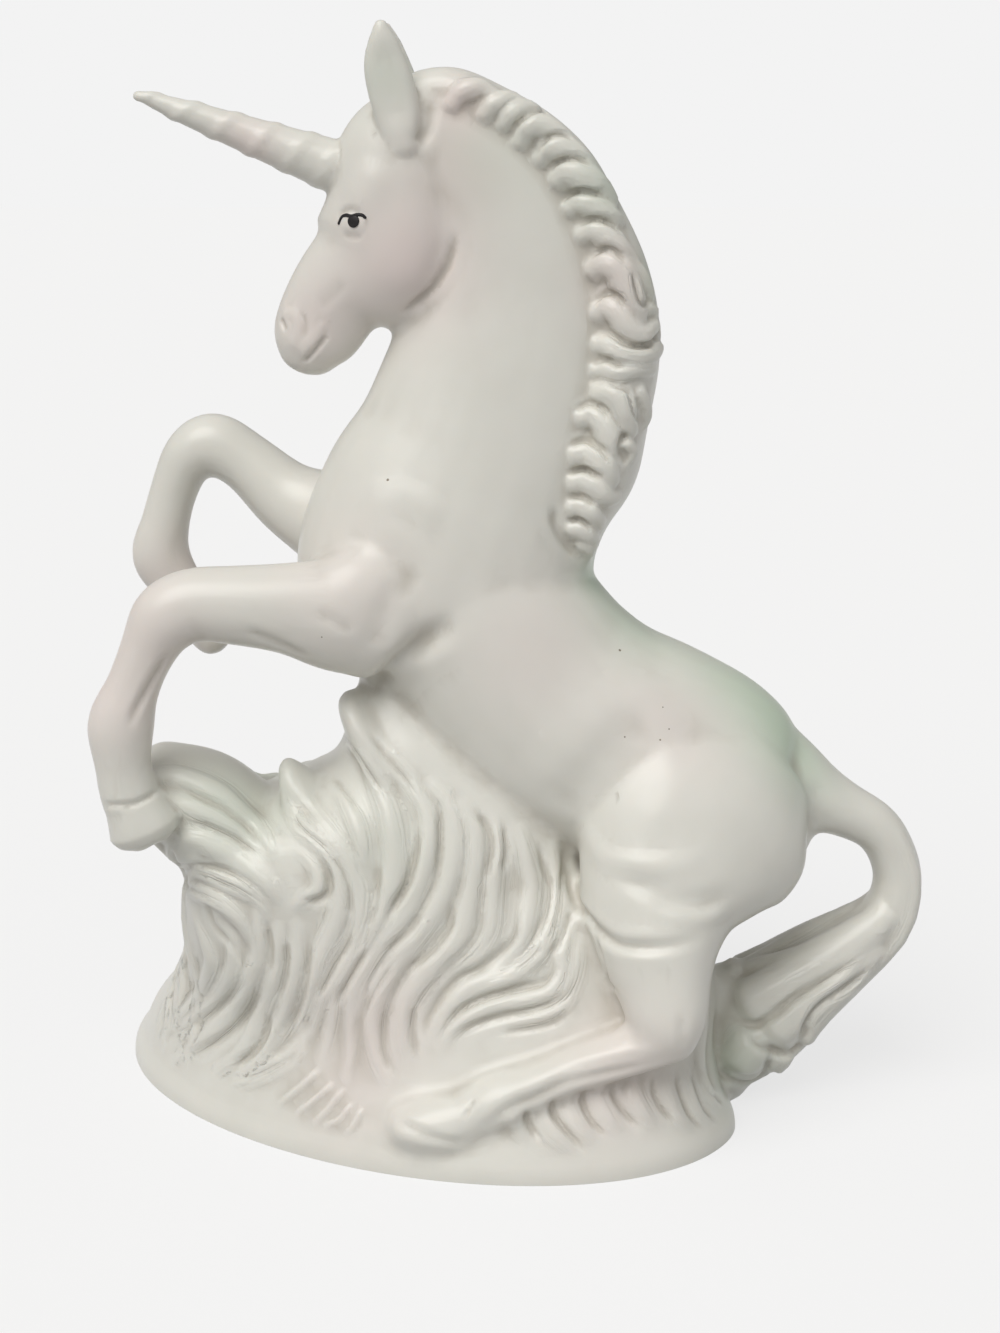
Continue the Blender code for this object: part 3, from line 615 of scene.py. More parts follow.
# %% Blades on the two sides
# Radius in mm, then x and z in mm on the plane y = -25, from root to tip.
BLADES = (
    (3.2, (-54, 76), (-48, 76.4), (-41, 73.2), (-36, 68.4), (-32, 63.6), (-30, 59.6)),
    (2.6, (-52, 72), (-46, 70), (-40, 67), (-35, 63.5), (-31, 58)),
    (3.2, (-49, 64), (-43, 62.5), (-37, 59.5), (-32, 55), (-29, 50)),
    (2.2, (-49, 57), (-44, 56.5), (-39, 55), (-34, 52), (-31, 47)),
    (2.4, (-50, 54), (-45, 52.5), (-40, 50), (-36, 45.5), (-34, 40)),
    (3.0, (-46, 48), (-43.5, 42), (-42.5, 37), (-46, 30), (-52, 25)),
    (3.0, (-39, 44), (-38, 38), (-40, 33), (-45, 27), (-51, 22)),
    (3.0, (-33.5, 49), (-33, 43), (-34, 37), (-38, 29), (-45, 21.5), (-51, 17)),
    (2.6, (-29.5, 46), (-29.5, 39), (-31, 32), (-34, 25), (-38, 19), (-43, 14.5)),
    (2.6, (-26, 46), (-26, 38), (-27.5, 31), (-30, 24), (-33, 18.5), (-37, 15)),
    (2.8, (-28.4, 75), (-27.5, 70.5), (-24, 66), (-19, 60.6), (-16.6, 55), (-17.5, 48), (-20, 42),
     (-22.5, 36), (-24, 31), (-27, 25), (-31, 20)),
    (2.2, (-24.5, 74), (-22.5, 70), (-19, 65), (-15.5, 59.5), (-13.5, 53), (-13.8, 46), (-16.5, 40),
     (-20, 34), (-22, 28), (-24, 23), (-29, 18)),
    (2.0, (-25, 61), (-22, 57.5), (-21.5, 54), (-24, 51.5), (-27, 49)),
    (2.8, (-17, 85.4), (-13, 79.6), (-10, 74.5), (-8, 69), (-7, 63), (-7, 56), (-9.5, 49.5), (-12, 43),
     (-16, 37), (-18.5, 31), (-20, 24), (-22, 17)),
    (2.2, (-17.4, 74), (-15, 69), (-13, 63), (-12.5, 57)),
    (2.8, (-8, 81), (-4, 75), (-0.5, 69), (-0.3, 63), (-1.5, 56), (-4, 50), (-7.5, 45), (-11, 40),
     (-14, 34), (-15.5, 27), (-16, 20), (-17, 13)),
    (2.8, (0, 75), (4, 70), (5, 63), (4, 56), (1, 49), (-3, 43), (-7, 38), (-10, 32), (-11.5, 25),
     (-11, 18), (-9, 12)),
    (2.9, (6, 71), (8.5, 65), (8.5, 58), (7.5, 51), (6, 44), (2, 39), (-2, 34.5), (-5, 29), (-6, 22),
     (-5, 16)),
    (2.0, (12.5, 68), (13, 62), (12.5, 57), (12, 50), (11.5, 44), (8, 39), (4, 36)),
    (2.4, (17, 66), (18.5, 60), (19.5, 54), (19, 48), (17.5, 42.5), (14.5, 38.5)),
    (2.2, (23.5, 63), (24.2, 56), (24, 49), (22.5, 43), (20, 39), (15, 35), (9, 33), (5, 30), (2.5, 26),
     (0.5, 21)),
    (2.2, (27, 47), (26, 42), (25.5, 37), (23.5, 32), (19, 30), (12, 29), (7, 26.5), (3.5, 23), (1.5, 19)),
    (1.8, (28.8, 44), (28.5, 39), (27.5, 34), (25, 29), (20, 26.5), (14, 25.5)),
    (1.8, (-24, 24), (-26.5, 19.5), (-31, 16), (-36, 13.5), (-39.5, 12.2)),
    (1.8, (15.5, 6.4), (17, 3), (19, 0)),
    (2.2, (21.5, 8.4), (22, 5), (24.5, 1), (28, -2.5)),
    (2.2, (27, 10), (27, 7), (29, 3), (32.5, -0.5)),
    (2.2, (33, 12), (33, 9), (35, 5), (38, 1.5)),
    (2.4, (40, 13.6), (40, 10), (42, 6), (45, 3)),
    (2.2, (46.5, 15), (46.7, 11), (48.5, 6), (51.5, 2.5)),
    (1.8, (50, 16), (50.8, 12), (52.5, 7), (55.5, 3.5)),
    (2.2, (53.5, 15), (54.5, 11), (57, 7)),
)
BLADE_PLANE = -25.0
BLADE_SINK = 0.48
BLADE_ENDS = (0.4, 0.3)

grass_paths = laid(BLADES, BLADE_PLANE, 3, BLADE_SINK, *BLADE_ENDS)
print("blades on the two sides:", len(grass_paths))

# %% Blades on the two ends
# Which ends, radius in mm, then y and z in mm, as seen straight on to each end.
END_BLADES = (
    ((1,), 2.3, (-12, 56), (-13, 44), (-15, 31), (-21, 18), (-24, 8)),
    ((-1, 1), 2.2, (-4, 58), (-4, 44), (-5, 30), (-6, 17), (-7, 7)),
    ((-1, 1), 2.2, (4, 56), (4, 43), (5, 30), (7, 17), (8, 7)),
    ((1,), 2.3, (16, 50), (17, 40), (21, 28), (25, 17), (27, 8)),
)
END_REACH = 0.3

for end in (-1, 1):
    for ends, radius, *drawn in END_BLADES:
        if end not in ends:
            continue
        places = []
        for y, z in smooth_rows(drawn, 3):
            start = Vector((end * END_REACH, y * MM, z * MM))
            place, normal, _, _ = skin.tree.ray_cast(start, Vector((-end, 0, 0)))
            if place:
                places.append(place - normal * BLADE_SINK * radius * MM)
        grass_paths.append((places, tapered(len(places), radius, *BLADE_ENDS)))
grass_blades = strands("grass_blades", grass_paths)
print("all blades:", len(grass_paths))

# %% [markdown]
# ## Second melt: tail and grass
#
# The strands are smeared into the body with a fair amount of smoothing. What was a row of strings
# becomes a soft fluted mass.

# %% Second melt
GRASS_VOXEL = 0.65
GRASS_SMOOTHING = 1.8

sculpture = join("unicorn_sculpture", [sculpture, tail_locks, grass_blades])
melt(sculpture, GRASS_VOXEL, GRASS_SMOOTHING)
print("faces after the second melt:", len(sculpture.data.polygons))

# %% [markdown]
# ## Horn and ears
#
# The horn is a cone with a rope of clay wound round it. The rope is thick enough for its turns
# to touch, so that only shallow grooves are left between them, deepest under the horn. The ears
# are leaves of a few ovals, pricked and turned forward, with a hollow pressed into their fronts.
# The raised hoof joins them here, so that its sole keeps a crisp edge.

# %% Horn
HORN_ROOT = Vector((-14.5, 0, 187.4))
HORN_TIP = Vector((-54.6, 0, 201.7))
HORN_RADII = ((0.0, 5.7), (0.25, 4.7), (0.5, 3.75), (0.75, 2.8), (0.92, 1.85), (1.0, 1.2))
HORN_RINGS = 24
CORE_INSET = 0.36

horn_line = HORN_TIP - HORN_ROOT


def horn_radius(share):
    """The horn's radius in mm, so far along it."""
    shares, radii = zip(*HORN_RADII)
    return float(np.interp(share, shares, radii))


core = []
for step in range(HORN_RINGS + 1):
    share = step / HORN_RINGS
    centre = (HORN_ROOT + horn_line * share) * MM
    radius = (horn_radius(share) - CORE_INSET) * MM
    core.append((*centre, radius, radius))
horn = oval_form("horn", core)
print("horn length in mm:", round(horn_line.length, 1))

# %% The rope round the horn
HORN_TURNS = 6
TURN_STEPS = 24
FIRST_TURN = math.radians(200)
# The turns crowd a little towards the tip, and the rope thins with them.
CROWDING = 0.86
PITCH_AT_ROOT = 1.334
PITCH_LOSS = 0.4872
ROPE_SHARE = 0.56
THICKEST_SHARE = 0.72

to_far_side = Vector((0, 1, 0))
horn_up = to_far_side.cross(horn_line).normalized()
wound = []
rope_radii = []
steps = HORN_TURNS * TURN_STEPS
for step in range(steps + 1):
    share = step / steps
    angle = FIRST_TURN - 2 * math.pi * HORN_TURNS * share ** CROWDING
    pitch = horn_line.length / HORN_TURNS * (PITCH_AT_ROOT - PITCH_LOSS * share)
    thick = min(ROPE_SHARE * pitch, THICKEST_SHARE * horn_radius(share))
    off = horn_up * math.cos(angle) + to_far_side * math.sin(angle)
    wound.append((HORN_ROOT + horn_line * share + off * (horn_radius(share) - thick)) * MM)
    rope_radii.append(thick * MM)
rope = strands("horn_rope", [(wound, rope_radii)])
print("rope radius in mm:", round(rope_radii[0] / MM, 2), "to", round(rope_radii[-1] / MM, 2))

# %% Ears
EAR = (
    (-4.2, 6.5, 192, 3.4, 3.4), (-5.4, 6.8, 198, 4.1, 3), (-6.4, 7, 202.5, 4.4, 2.6),
    (-7.5, 7.3, 207, 4, 2.2), (-7.9, 7.6, 210.6, 2.9, 1.8), (-8.3, 7.8, 214.2, 1.1, 1.1),
)
ears = []
for side, word in ((-1, "near"), (1, "far")):
    ears.append(limb(word + "_ear", [(x, side * y, z, wide, thick) for x, y, z, wide, thick in EAR]))
print("ears:", len(ears))

# %% Raised hoof
HOOF = ((-58.6, 71.6, 4.8, 4.8), (-57.9, 70, 5.5, 5.3), (-56.7, 67, 6.3, 6), (-55.5, 63.9, 7.2, 6.5))
HOOF_PLANE = -19.4
hoof = oval_form("raised_hoof", [[x * MM, HOOF_PLANE * MM, z * MM, high * MM, wide * MM]
                                 for x, z, high, wide in HOOF])
print("hoof sections:", len(HOOF))

# %% [markdown]
# ## Locks of the mane
#
# Each lock starts with a round end on the neck, arches up and back, and ends on the crest in a
# small hook. Rolled as a fat strand and laid against its neighbour, it leaves the sharp crease
# between two locks by itself, which a carved groove would not do as well.

# %% Mane locks
# Radius in mm, then x and z in mm from the round end on the neck to the crest.
MANE_LOCKS = (
    (2.2, (4.5, 199.6), (6.5, 202), (9.6, 202.9), (12.6, 201.6)),
    (2.0, (10.5, 197.8), (12.5, 200), (15.4, 200.9), (18, 199.4)),
    (1.9, (14, 196), (15.5, 198.3), (18, 199.5), (20.5, 198.8)),
    (2.4, (17.2, 193), (18.5, 195.4), (21, 196.3), (24, 195), (26.5, 193)),
    (2.4, (20.8, 190), (22.6, 191.9), (25.5, 192.2), (28.5, 190.5), (31, 188)),
    (2.9, (24, 186.3), (26, 187.6), (29, 187), (32, 185), (34.4, 182.5)),
    (2.2, (26.4, 181), (28, 182), (30.5, 181.8), (33.5, 180.5), (36, 179)),
    (2.4, (28.8, 176.2), (30.8, 177), (33.5, 176.2), (36, 174), (38.6, 171.5)),
    (3.0, (31, 169.8), (33, 171), (35.5, 170), (37.3, 167), (38.6, 163.5), (39.5, 160.5)),
    (1.8, (37.5, 172), (39.5, 169.5), (40.8, 167), (41.8, 164.8)),
    (2.7, (31.8, 161.8), (33.6, 163), (35.8, 161.8), (37.6, 159.5), (40, 158), (42.6, 159.5)),
    (2.3, (31.6, 156), (33.5, 156), (36, 154.8), (39, 153.6), (42, 154.2), (44, 156)),
    (2.0, (31.4, 151.2), (33.3, 151.4), (36, 151), (39, 151.5), (42.5, 151.5)),
    (2.8, (31.8, 147), (34, 147), (36.2, 145.5), (37.3, 142.5), (38.5, 139.5)),
    (1.6, (40, 147.5), (41, 145), (41.2, 142.5), (40.8, 140.5)),
    (2.6, (28.8, 142), (30.8, 142.8), (32.8, 141.3), (34.2, 138.5), (35.2, 136)),
    (2.7, (27.6, 135.2), (30, 135.4), (32.2, 134.3), (33.8, 132), (35, 129.8)),
    (2.4, (27.2, 129.8), (29.6, 130), (32, 129), (34, 127), (36, 127)),
    (2.1, (27, 125), (29, 125.2), (31, 124), (33, 121.5)),
    (2.0, (27, 120.6), (28.8, 120.8), (30.5, 119.5), (32, 118)),
    (1.5, (28.4, 117.6), (30.3, 117.2), (31.3, 115.8)),
)
# Small curls that sit on the crest between the locks.
CREST_CURLS = (
    (1.4, (37, 137), (38.3, 136.9), (38.9, 135.6), (38, 134.6)),
    (1.3, (41, 162.8), (42.3, 162.5), (42.6, 161)),
    (1.3, (33, 184), (34.6, 184.4), (35.6, 182.8)),
)
MANE_PLANE = -9.0
LOCK_SINK = 0.2
LOCK_ENDS = (0.75, 0.45)

skin = Skin(sculpture)
mane_paths = laid(MANE_LOCKS + CREST_CURLS, MANE_PLANE, 4, LOCK_SINK, *LOCK_ENDS)
mane_locks = strands("mane_locks", mane_paths)
print("mane strands:", len(mane_paths))

# %% [markdown]
# ## Third melt: horn, ears and mane
#
# These forms are melted in with a smaller voxel and far less smoothing, so the creases between
# the locks stay crisp while their edges still look fired and softened by the slip.

# %% Third melt
SKIN_VOXEL = 0.5
SKIN_SMOOTHING = 1.0

sculpture = join("unicorn_sculpture", [sculpture, horn, rope, hoof] + ears + [mane_locks])
melt(sculpture, SKIN_VOXEL, SKIN_SMOOTHING)
print("faces after the third melt:", len(sculpture.data.polygons))

# %% [markdown]
# ## Pressing and raising
#
# The rest is what a modelling tool does in leather-hard clay: a crease pressed in, a fold or a
# muscle raised. Sculpt brushes need a window, so each stroke is worked out here instead. Every
# point of the skin near the drawn line moves along its own normal, most on the line and not at
# all at the tool's edge.


# %% Places on the skin and along a line
def read_vectors(mesh, name):
    """The vertices' places or normals as an array."""
    out = np.empty(len(mesh.vertices) * 3)
    mesh.vertices.foreach_get(name, out)
    return out.reshape(-1, 3)


def run_along(line):
    """How far along a line each of its points lies."""
    return np.concatenate([[0.0], np.cumsum(np.linalg.norm(np.diff(line, axis=0), axis=1))])


def at_runs(line, travelled, even):
    """The places on a line at even runs along it."""
    return np.column_stack([np.interp(even, travelled, line[:, axis]) for axis in range(3)])


def closest_on(line, spots):
    """For each spot, its distance to the line's nearest point, and which point that is."""
    distance = np.full(len(spots), np.inf)
    closest = np.zeros(len(spots), dtype=int)
    for index, place in enumerate(line):
        gap = ((spots - place) ** 2).sum(axis=1)
        nearer = gap < distance
        distance[nearer] = gap[nearer]
        closest[nearer] = index
    return np.sqrt(distance), closest


print("points of the skin:", len(read_vectors(sculpture.data, "co")))

# %% The modelling tool
TOOL_STEP_MM = 0.3
PRESSED_REACH = 2.6
PRESSED_SPREAD = 1.3
# The first, rough search takes every eighth point of the line and so much more room.
ROUGH_STEP = 8
ROUGH_ROOM_MM = 1.5
SHORTEST_FADING = 5.0


def stroke(places, normals, line, width_mm, height_mm, fade=0.3):
    """Move the skin near a line: out where height is positive, in where it is negative.

    Clay that is pressed in rises a little on both sides of the tool. A long stroke fades in
    and out over a share of its length, and a short, wide one is a round dab.
    """
    line = np.array(line)
    width = width_mm * MM
    reach = (PRESSED_REACH if height_mm < 0 else 1.0) * width
    travelled = run_along(line)
    count = max(2, int(travelled[-1] / (TOOL_STEP_MM * MM)))
    line = at_runs(line, travelled, np.linspace(0.0, travelled[-1], count))
    near = np.flatnonzero(np.all((places > line.min(axis=0) - reach)
                                 & (places < line.max(axis=0) + reach), axis=1))
    for thinned, room in ((line[::ROUGH_STEP], ROUGH_ROOM_MM * MM), (line, 0.0)):
        distance, closest = closest_on(thinned, places[near])
        kept = distance < reach + room
        near, distance, closest = near[kept], distance[kept], closest[kept]
    share = closest / (len(line) - 1)
    ends = np.clip(np.minimum(share, 1 - share) / fade, 0, 1)
    ends = ends * ends * (3 - 2 * ends)
    if travelled[-1] < SHORTEST_FADING * width:
        ends = np.ones(len(near))
    across = distance / width
    if height_mm < 0:
        fall = (1 - across ** 2) * np.exp(-across ** 2 / PRESSED_SPREAD)
    else:
        fall = np.clip(1 - across ** 2, 0, 1) ** 2
    places[near] += normals[near] * (height_mm * MM * fall * ends)[:, None]


# %% Working over the skin
def work(obj, strokes, plane_y, label):
    """Make strokes of (width, height, x and z points) on the near side, and mirrored."""
    skin = Skin(obj)
    places = read_vectors(obj.data, "co")
    normals = read_vectors(obj.data, "normal")
    for width, height, *drawn in strokes:
        for side in (-1, 1):
            stroke(places, normals, skin.path(drawn, plane_y, 6, 0.0, side), width, height)
    obj.data.vertices.foreach_set("co", places.ravel())
    obj.data.update()
    print(label, "strokes:", 2 * len(strokes))


# %% [markdown]
# ## The head
#
# Bone shows through the skin of a horse's head: a brow ridge over the eye, a long cheek with a
# hard rear edge, a nostril with a wing, and a thin mouth. Wide soft strokes make the bone, and
# narrow ones cut the mouth and the lids. Every stroke below is its width and its height in mm,
# negative where it is pressed in, and then x and z in mm on the plane that the call names.

# %% Strokes on the head
HEAD_STROKES = (
    # jaw line, broad and then sharp
    (3.2, -0.4, (5.4, 178), (4.6, 174.4), (3, 170), (0.6, 166.4), (-2.4, 163.6), (-6, 161)),
    (1.1, -0.7, (5.2, 177), (4.7, 174.2), (3.3, 169.9), (0.6, 166), (-2.6, 163.2), (-6.4, 160.6)),
    # cheek swells before it
    (9.0, 0.6, (-1, 176), (-4, 170)),
    # brow
    (5.5, 0.55, (-12.6, 183.6), (-11.4, 185.6)),
    # eyeball, upper and lower lid
    (2.2, 0.4, (-15.4, 178), (-13.2, 178)),
    (0.8, -0.3, (-17.2, 178.6), (-16.3, 180.1), (-14.4, 180.6), (-12, 179.8)),
    (0.8, -0.22, (-16.4, 176.3), (-14.6, 175.4), (-12.4, 175.7)),
    # ear root, behind it
    (1.8, -0.6, (-0.2, 201.5), (0.2, 198), (-0.8, 194.6), (-3.4, 192.4)),
    # the ear's opening
    (3.2, -0.45, (-6.4, 199), (-7, 202), (-7.9, 206), (-8.2, 208)),
    # mouth, nostril and its wing
    (0.7, -0.5, (-24.9, 151.2), (-23.4, 152.6), (-21.8, 154.4), (-19.4, 157.4)),
    (1.6, 0.25, (-24.6, 154.2), (-22.4, 156.4), (-20.6, 158.8)),
    (0.7, -0.45, (-28.3, 159.6), (-27.8, 158.3)),
    (1.7, 0.25, (-27.6, 161.4), (-25.8, 160.6), (-25.3, 158), (-26.2, 155.4)),
    (1.0, -0.2, (-24.8, 162), (-24, 159), (-24.8, 156.2)),
    # cheek line
    (1.6, -0.15, (-17.3, 166.1), (-18.6, 164.7), (-20, 163.4)),
)
work(sculpture, HEAD_STROKES, 0.0, "head")

# %% [markdown]
# ## Shoulder and forelegs
#
# On the real figure the muscles of the shoulder are low, soft swellings, and a sharper fold runs
# where the foreleg meets the chest. Wide raised strokes under narrow pressed ones give both, and
# nothing needs to be modelled as a form of its own.

# %% Strokes on the shoulder
SHOULDER_STROKES = (
    # point of the shoulder, and the muscles over the forearm
    (7.0, 0.35, (-15, 115), (-14, 113), (-13.4, 111)),
    (6.5, 0.35, (-9, 123), (-8.4, 120.4)),
    (4.6, 0.35, (-9.4, 128), (-5.4, 128), (-2.4, 127), (0, 125.6)),
    (3.4, -0.22, (-12.5, 117.6), (-8.5, 117.2), (-4.6, 114.4)),
    # elbow and armpit
    (2.8, -0.32, (-4, 112), (-6.8, 108.4), (-8.6, 105), (-9.6, 101)),
    (4.6, 0.3, (-5.6, 106.6), (-7, 103.4), (-8, 100)),
    (3.0, -1.3, (-12, 90), (-8, 93.6), (-5, 96.8), (-1.8, 99.4), (1.6, 101.6), (7, 104.4)),
    (1.6, -0.5, (-13, 89.6), (-9, 92.4), (-6, 95.8), (-1.6, 99)),
)
work(sculpture, SHOULDER_STROKES, -14.0, "shoulder")

# %% Strokes on the forelegs
FORELEG_STROKES = (
    # tendons of the forearm
    (1.4, -0.4, (-36, 104), (-28.4, 100.9), (-21.5, 97.6)),
    (1.6, -0.3, (-22, 107.2), (-18, 105.2), (-14, 102.8)),
    # tendon down the cannon
    (1.2, -0.5, (-49, 100), (-51.8, 95.2), (-56, 88), (-58.2, 83)),
    # coronet
    (0.8, -0.4, (-63.4, 68.6), (-58.1, 68.8), (-55, 70), (-52, 72.2)),
)
work(sculpture, FORELEG_STROKES, -20.0, "foreleg")

# %% [markdown]
# ## Haunch and hind leg
#
# The thigh of a crouching horse folds over the shin in two or three rolls, and its edge stands
# sharp against the grass. The rolls are raised strokes that cross the thigh, each with a pressed
# one under it. The shin keeps a tendon and the hard edge of the hoof.

# %% Strokes on the haunch
HAUNCH_STROKES = (
    # flank, and the fold where thigh meets belly
    (4.6, -0.5, (27, 72), (31, 76.6), (35, 81), (39, 85)),
    (3.6, 0.5, (28, 66), (31, 62), (34, 58.6), (38, 57.2), (44.5, 56.9), (50, 57.4), (56, 59.4)),
    (2.6, -0.45, (33, 56), (42.7, 52.4), (47, 50), (53, 49.4), (57.3, 50.8), (61, 53.4)),
    (2.6, 0.4, (44, 47), (52, 46), (59, 48.4)),
    # highlights of the stifle
    (8.0, 0.4, (41.5, 88), (44, 85)),
    (7.0, 0.35, (45.4, 73), (44.6, 69)),
    # buttock and tail root
    (3.2, -0.3, (74, 71), (75, 67)),
    # thigh edge over the grass
    (1.6, -0.9, (25.4, 65), (26.3, 58), (27.6, 52), (30.6, 46.4), (34, 42.4), (38, 40.3), (45, 40),
     (51, 41.2), (55, 42.4)),
    (1.2, -0.5, (31.5, 45.7), (33.1, 39.4), (35.1, 33), (38, 28.4)),
)
work(sculpture, HAUNCH_STROKES, -22.0, "haunch")

# %% Strokes on the hind legs
HIND_LEG_STROKES = (
    # underside of the cannon, and the tendon along it
    (1.6, -0.6, (50, 19.4), (45, 17.6), (40, 16.1), (33, 14.4), (27, 12.8), (23, 10.8), (20, 9.2),
     (17, 8), (14, 6), (10, 2.8), (7, 0.8)),
    (1.2, -0.25, (46, 19), (40, 18.1), (33, 17), (28, 15.7), (23, 13.7)),
    # point of the hock
    (1.4, -0.25, (49, 28), (49.3, 23.5), (50, 19.5)),
    # coronet and hoof edge
    (0.7, -0.3, (9, 9.4), (7.6, 7.4), (6.4, 4.6)),
    (1.4, -0.4, (8, 0.4), (4.4, -0.2), (0, 0.8), (-4, 2.6), (-8, 5)),
)
work(sculpture, HIND_LEG_STROKES, -25.0, "hind leg")

# %% [markdown]
# ## Creases in the grass
#
# Melting has worn the gaps between the blades shallow. The strongest of them are pressed in
# again here, along the lines that show darkest on the real figure, and a few short tufts are
# raised at the front of the foot.

# %% Strokes in the upper grass
GRASS_STROKES = (
    # under and beside the raised hoof
    (1.0, -0.6, (-49, 75), (-44, 72), (-40, 70), (-38, 68.5), (-35, 66), (-33, 63), (-31, 60.4)),
    (0.9, -0.45, (-47, 68), (-42, 66), (-38, 64), (-35, 62), (-32, 60)),
    (2.0, -1, (-53, 61), (-50, 63), (-48, 65), (-46.5, 67.5)),
    (1.0, -0.6, (-52, 59), (-47, 58), (-44, 58), (-40, 57), (-37, 55.5), (-33.5, 53)),
    (1.0, -0.52, (-48, 57.5), (-43, 56), (-40, 54.5), (-37, 53), (-34, 51), (-31, 49)),
    (1.0, -0.45, (-49, 56), (-46, 53), (-43, 51.5), (-40, 49.5), (-36.5, 46.5)),
    # left mass
    (1.2, -0.38, (-43, 51), (-42, 46), (-39, 42), (-37, 37.5)),
    (1.2, -0.38, (-32, 47), (-31, 41), (-31, 35)),
    (1.2, -0.45, (-28, 43), (-28.3, 36), (-30, 30)),
    (1.2, -0.45, (-35, 37), (-40, 30), (-47, 25), (-53, 22)),
    (1.2, -0.45, (-32.4, 34), (-37, 26), (-43, 21), (-50, 18)),
    (1.1, -0.6, (-31.4, 28), (-32.4, 23), (-35, 19), (-40, 15.6)),
    (1.3, -0.6, (-23, 43), (-24, 37), (-25, 31), (-27, 26), (-29.4, 21.6)),
    # swirl in the middle
    (1.0, -0.52, (-27, 69), (-24, 65), (-21, 62.5), (-18, 59.4)),
    (1.1, -0.52, (-20, 62), (-17, 57), (-15.6, 52), (-15.6, 47)),
    (1.1, -0.6, (-26, 50.6), (-22, 51), (-19.6, 53), (-19.8, 56.4), (-21.6, 60)),
    (1.0, -0.68, (-14.6, 46), (-16, 42), (-18.4, 38), (-20.4, 34), (-22.6, 30)),
    (1.0, -0.6, (-11.4, 42), (-14.5, 37), (-17.4, 32), (-19.4, 28)),
    (1.2, -0.45, (-10.4, 60), (-10, 54), (-10.6, 49), (-12.6, 45)),
    (1.0, -0.38, (-6, 39), (-9, 35), (-12, 30), (-13.6, 25)),
    (1.1, -0.45, (-25, 22), (-28, 18), (-33, 14.9), (-39, 13)),
    (1.0, -0.52, (-16, 84), (-12.4, 78), (-9, 73.5), (-6, 70)),
    (1.0, -0.45, (-12, 86), (-8, 80), (-4, 75), (-2, 71)),
    (0.9, -0.38, (-18.6, 76), (-15, 71.6), (-13, 68)),
    (1.1, -0.68, (-2, 67), (-2.5, 61), (-4, 55), (-6.4, 50.6), (-9, 47)),
    (1.0, -0.45, (1.6, 71), (2, 65), (1.6, 59), (0.6, 55)),
    # belly to the right
    (1.1, -0.68, (8, 70), (11, 66), (12, 62), (11.4, 57.5), (10.6, 54)),
    (1.0, -0.45, (14, 67), (14.6, 61), (13.6, 56)),
    (1.1, -0.6, (20.5, 64), (22, 58), (23.4, 53.6), (23, 49), (21.4, 45), (19.6, 42)),
    (1.1, -0.52, (25.4, 62), (25.5, 56), (25, 50), (23.6, 44), (21.6, 40.6)),
    (1.0, -0.45, (27.4, 50), (26.6, 46), (25, 42), (22.6, 39)),
    (1.2, -0.75, (17, 50), (16.5, 44), (14, 40.5), (10, 37), (6, 35), (3, 32), (1, 29), (-1, 25), (-2, 20)),
    (1.1, -0.45, (4.4, 51), (4, 46), (1.6, 41.6), (-1.4, 38.6), (-5, 35.6)),
    (1.0, -0.38, (-1, 49.6), (-3.4, 45.4), (-6.4, 42.4), (-9.4, 39.6)),
    (1.0, -0.38, (22.4, 42), (19, 38.4), (16, 36)),
    (1.2, -0.68, (25, 41), (24.4, 37), (22, 34), (17, 32.6), (11, 30.6), (6, 28), (3, 24.6), (1, 21)),
    (1.2, -0.6, (29.5, 39), (28.2, 33.6), (26, 30.5), (21, 28.5), (12, 26.2), (6, 23.6), (2, 20)),
    (1.0, -0.38, (27.4, 29), (24, 25.5), (18, 24), (12.6, 23.4)),
    (1.2, -0.38, (-8.4, 30), (-9.4, 24), (-9, 18), (-6.6, 13.4)),
    (1.2, -0.38, (-3.4, 30), (-3.6, 24), (-3, 17)),
)
work(sculpture, GRASS_STROKES, -25.0, "upper grass")

# %% Strokes in the low grass
LOW_GRASS_STROKES = (
    # between the blades under the cannon
    (0.9, -0.49, (18.6, 7), (19, 4), (21.4, 0)),
    (0.9, -0.56, (24, 9.6), (24, 6), (27, 2), (31, -2.6)),
    (0.9, -0.56, (30, 11), (30, 8), (32, 4), (35.4, 0.6)),
    (0.9, -0.56, (36, 12.6), (36, 10), (38, 6.5), (41.4, 3)),
    (0.9, -0.56, (43.6, 14.6), (44, 10.5), (46, 6.6), (48.6, 4)),
    (0.9, -0.49, (48, 15.6), (49, 11), (51, 6), (54, 2.5)),
    (0.8, -0.42, (51.2, 16), (52, 12), (54, 7), (57, 4)),
    (0.9, -0.42, (53.4, 14), (55, 11), (58, 8)),
    # short tufts at the front of the foot
    (1.1, 0.6, (-21.6, 16), (-26, 11.6), (-31, 7.4)),
    (0.9, 0.55, (-19, 13), (-23.4, 8.8), (-27.6, 5.4)),
    (1.0, 0.5, (-17, 12), (-20.6, 7), (-24, 3.2)),
    (0.8, 0.45, (-15.6, 8.6), (-18.4, 4.8), (-21.8, 2.8)),
    (0.9, 0.4, (-13.6, 7.6), (-15.8, 3.2), (-17.6, 1)),
)
work(sculpture, LOW_GRASS_STROKES, -25.0, "low grass")

# %% [markdown]
# ## Creases in the mane and the tail
#
# Each lock comes out from under its neighbour, which leaves a dark line over it. The tail's locks
# have such lines between them as well. They are pressed in narrow and deep, so that they stay
# dark under soft light.

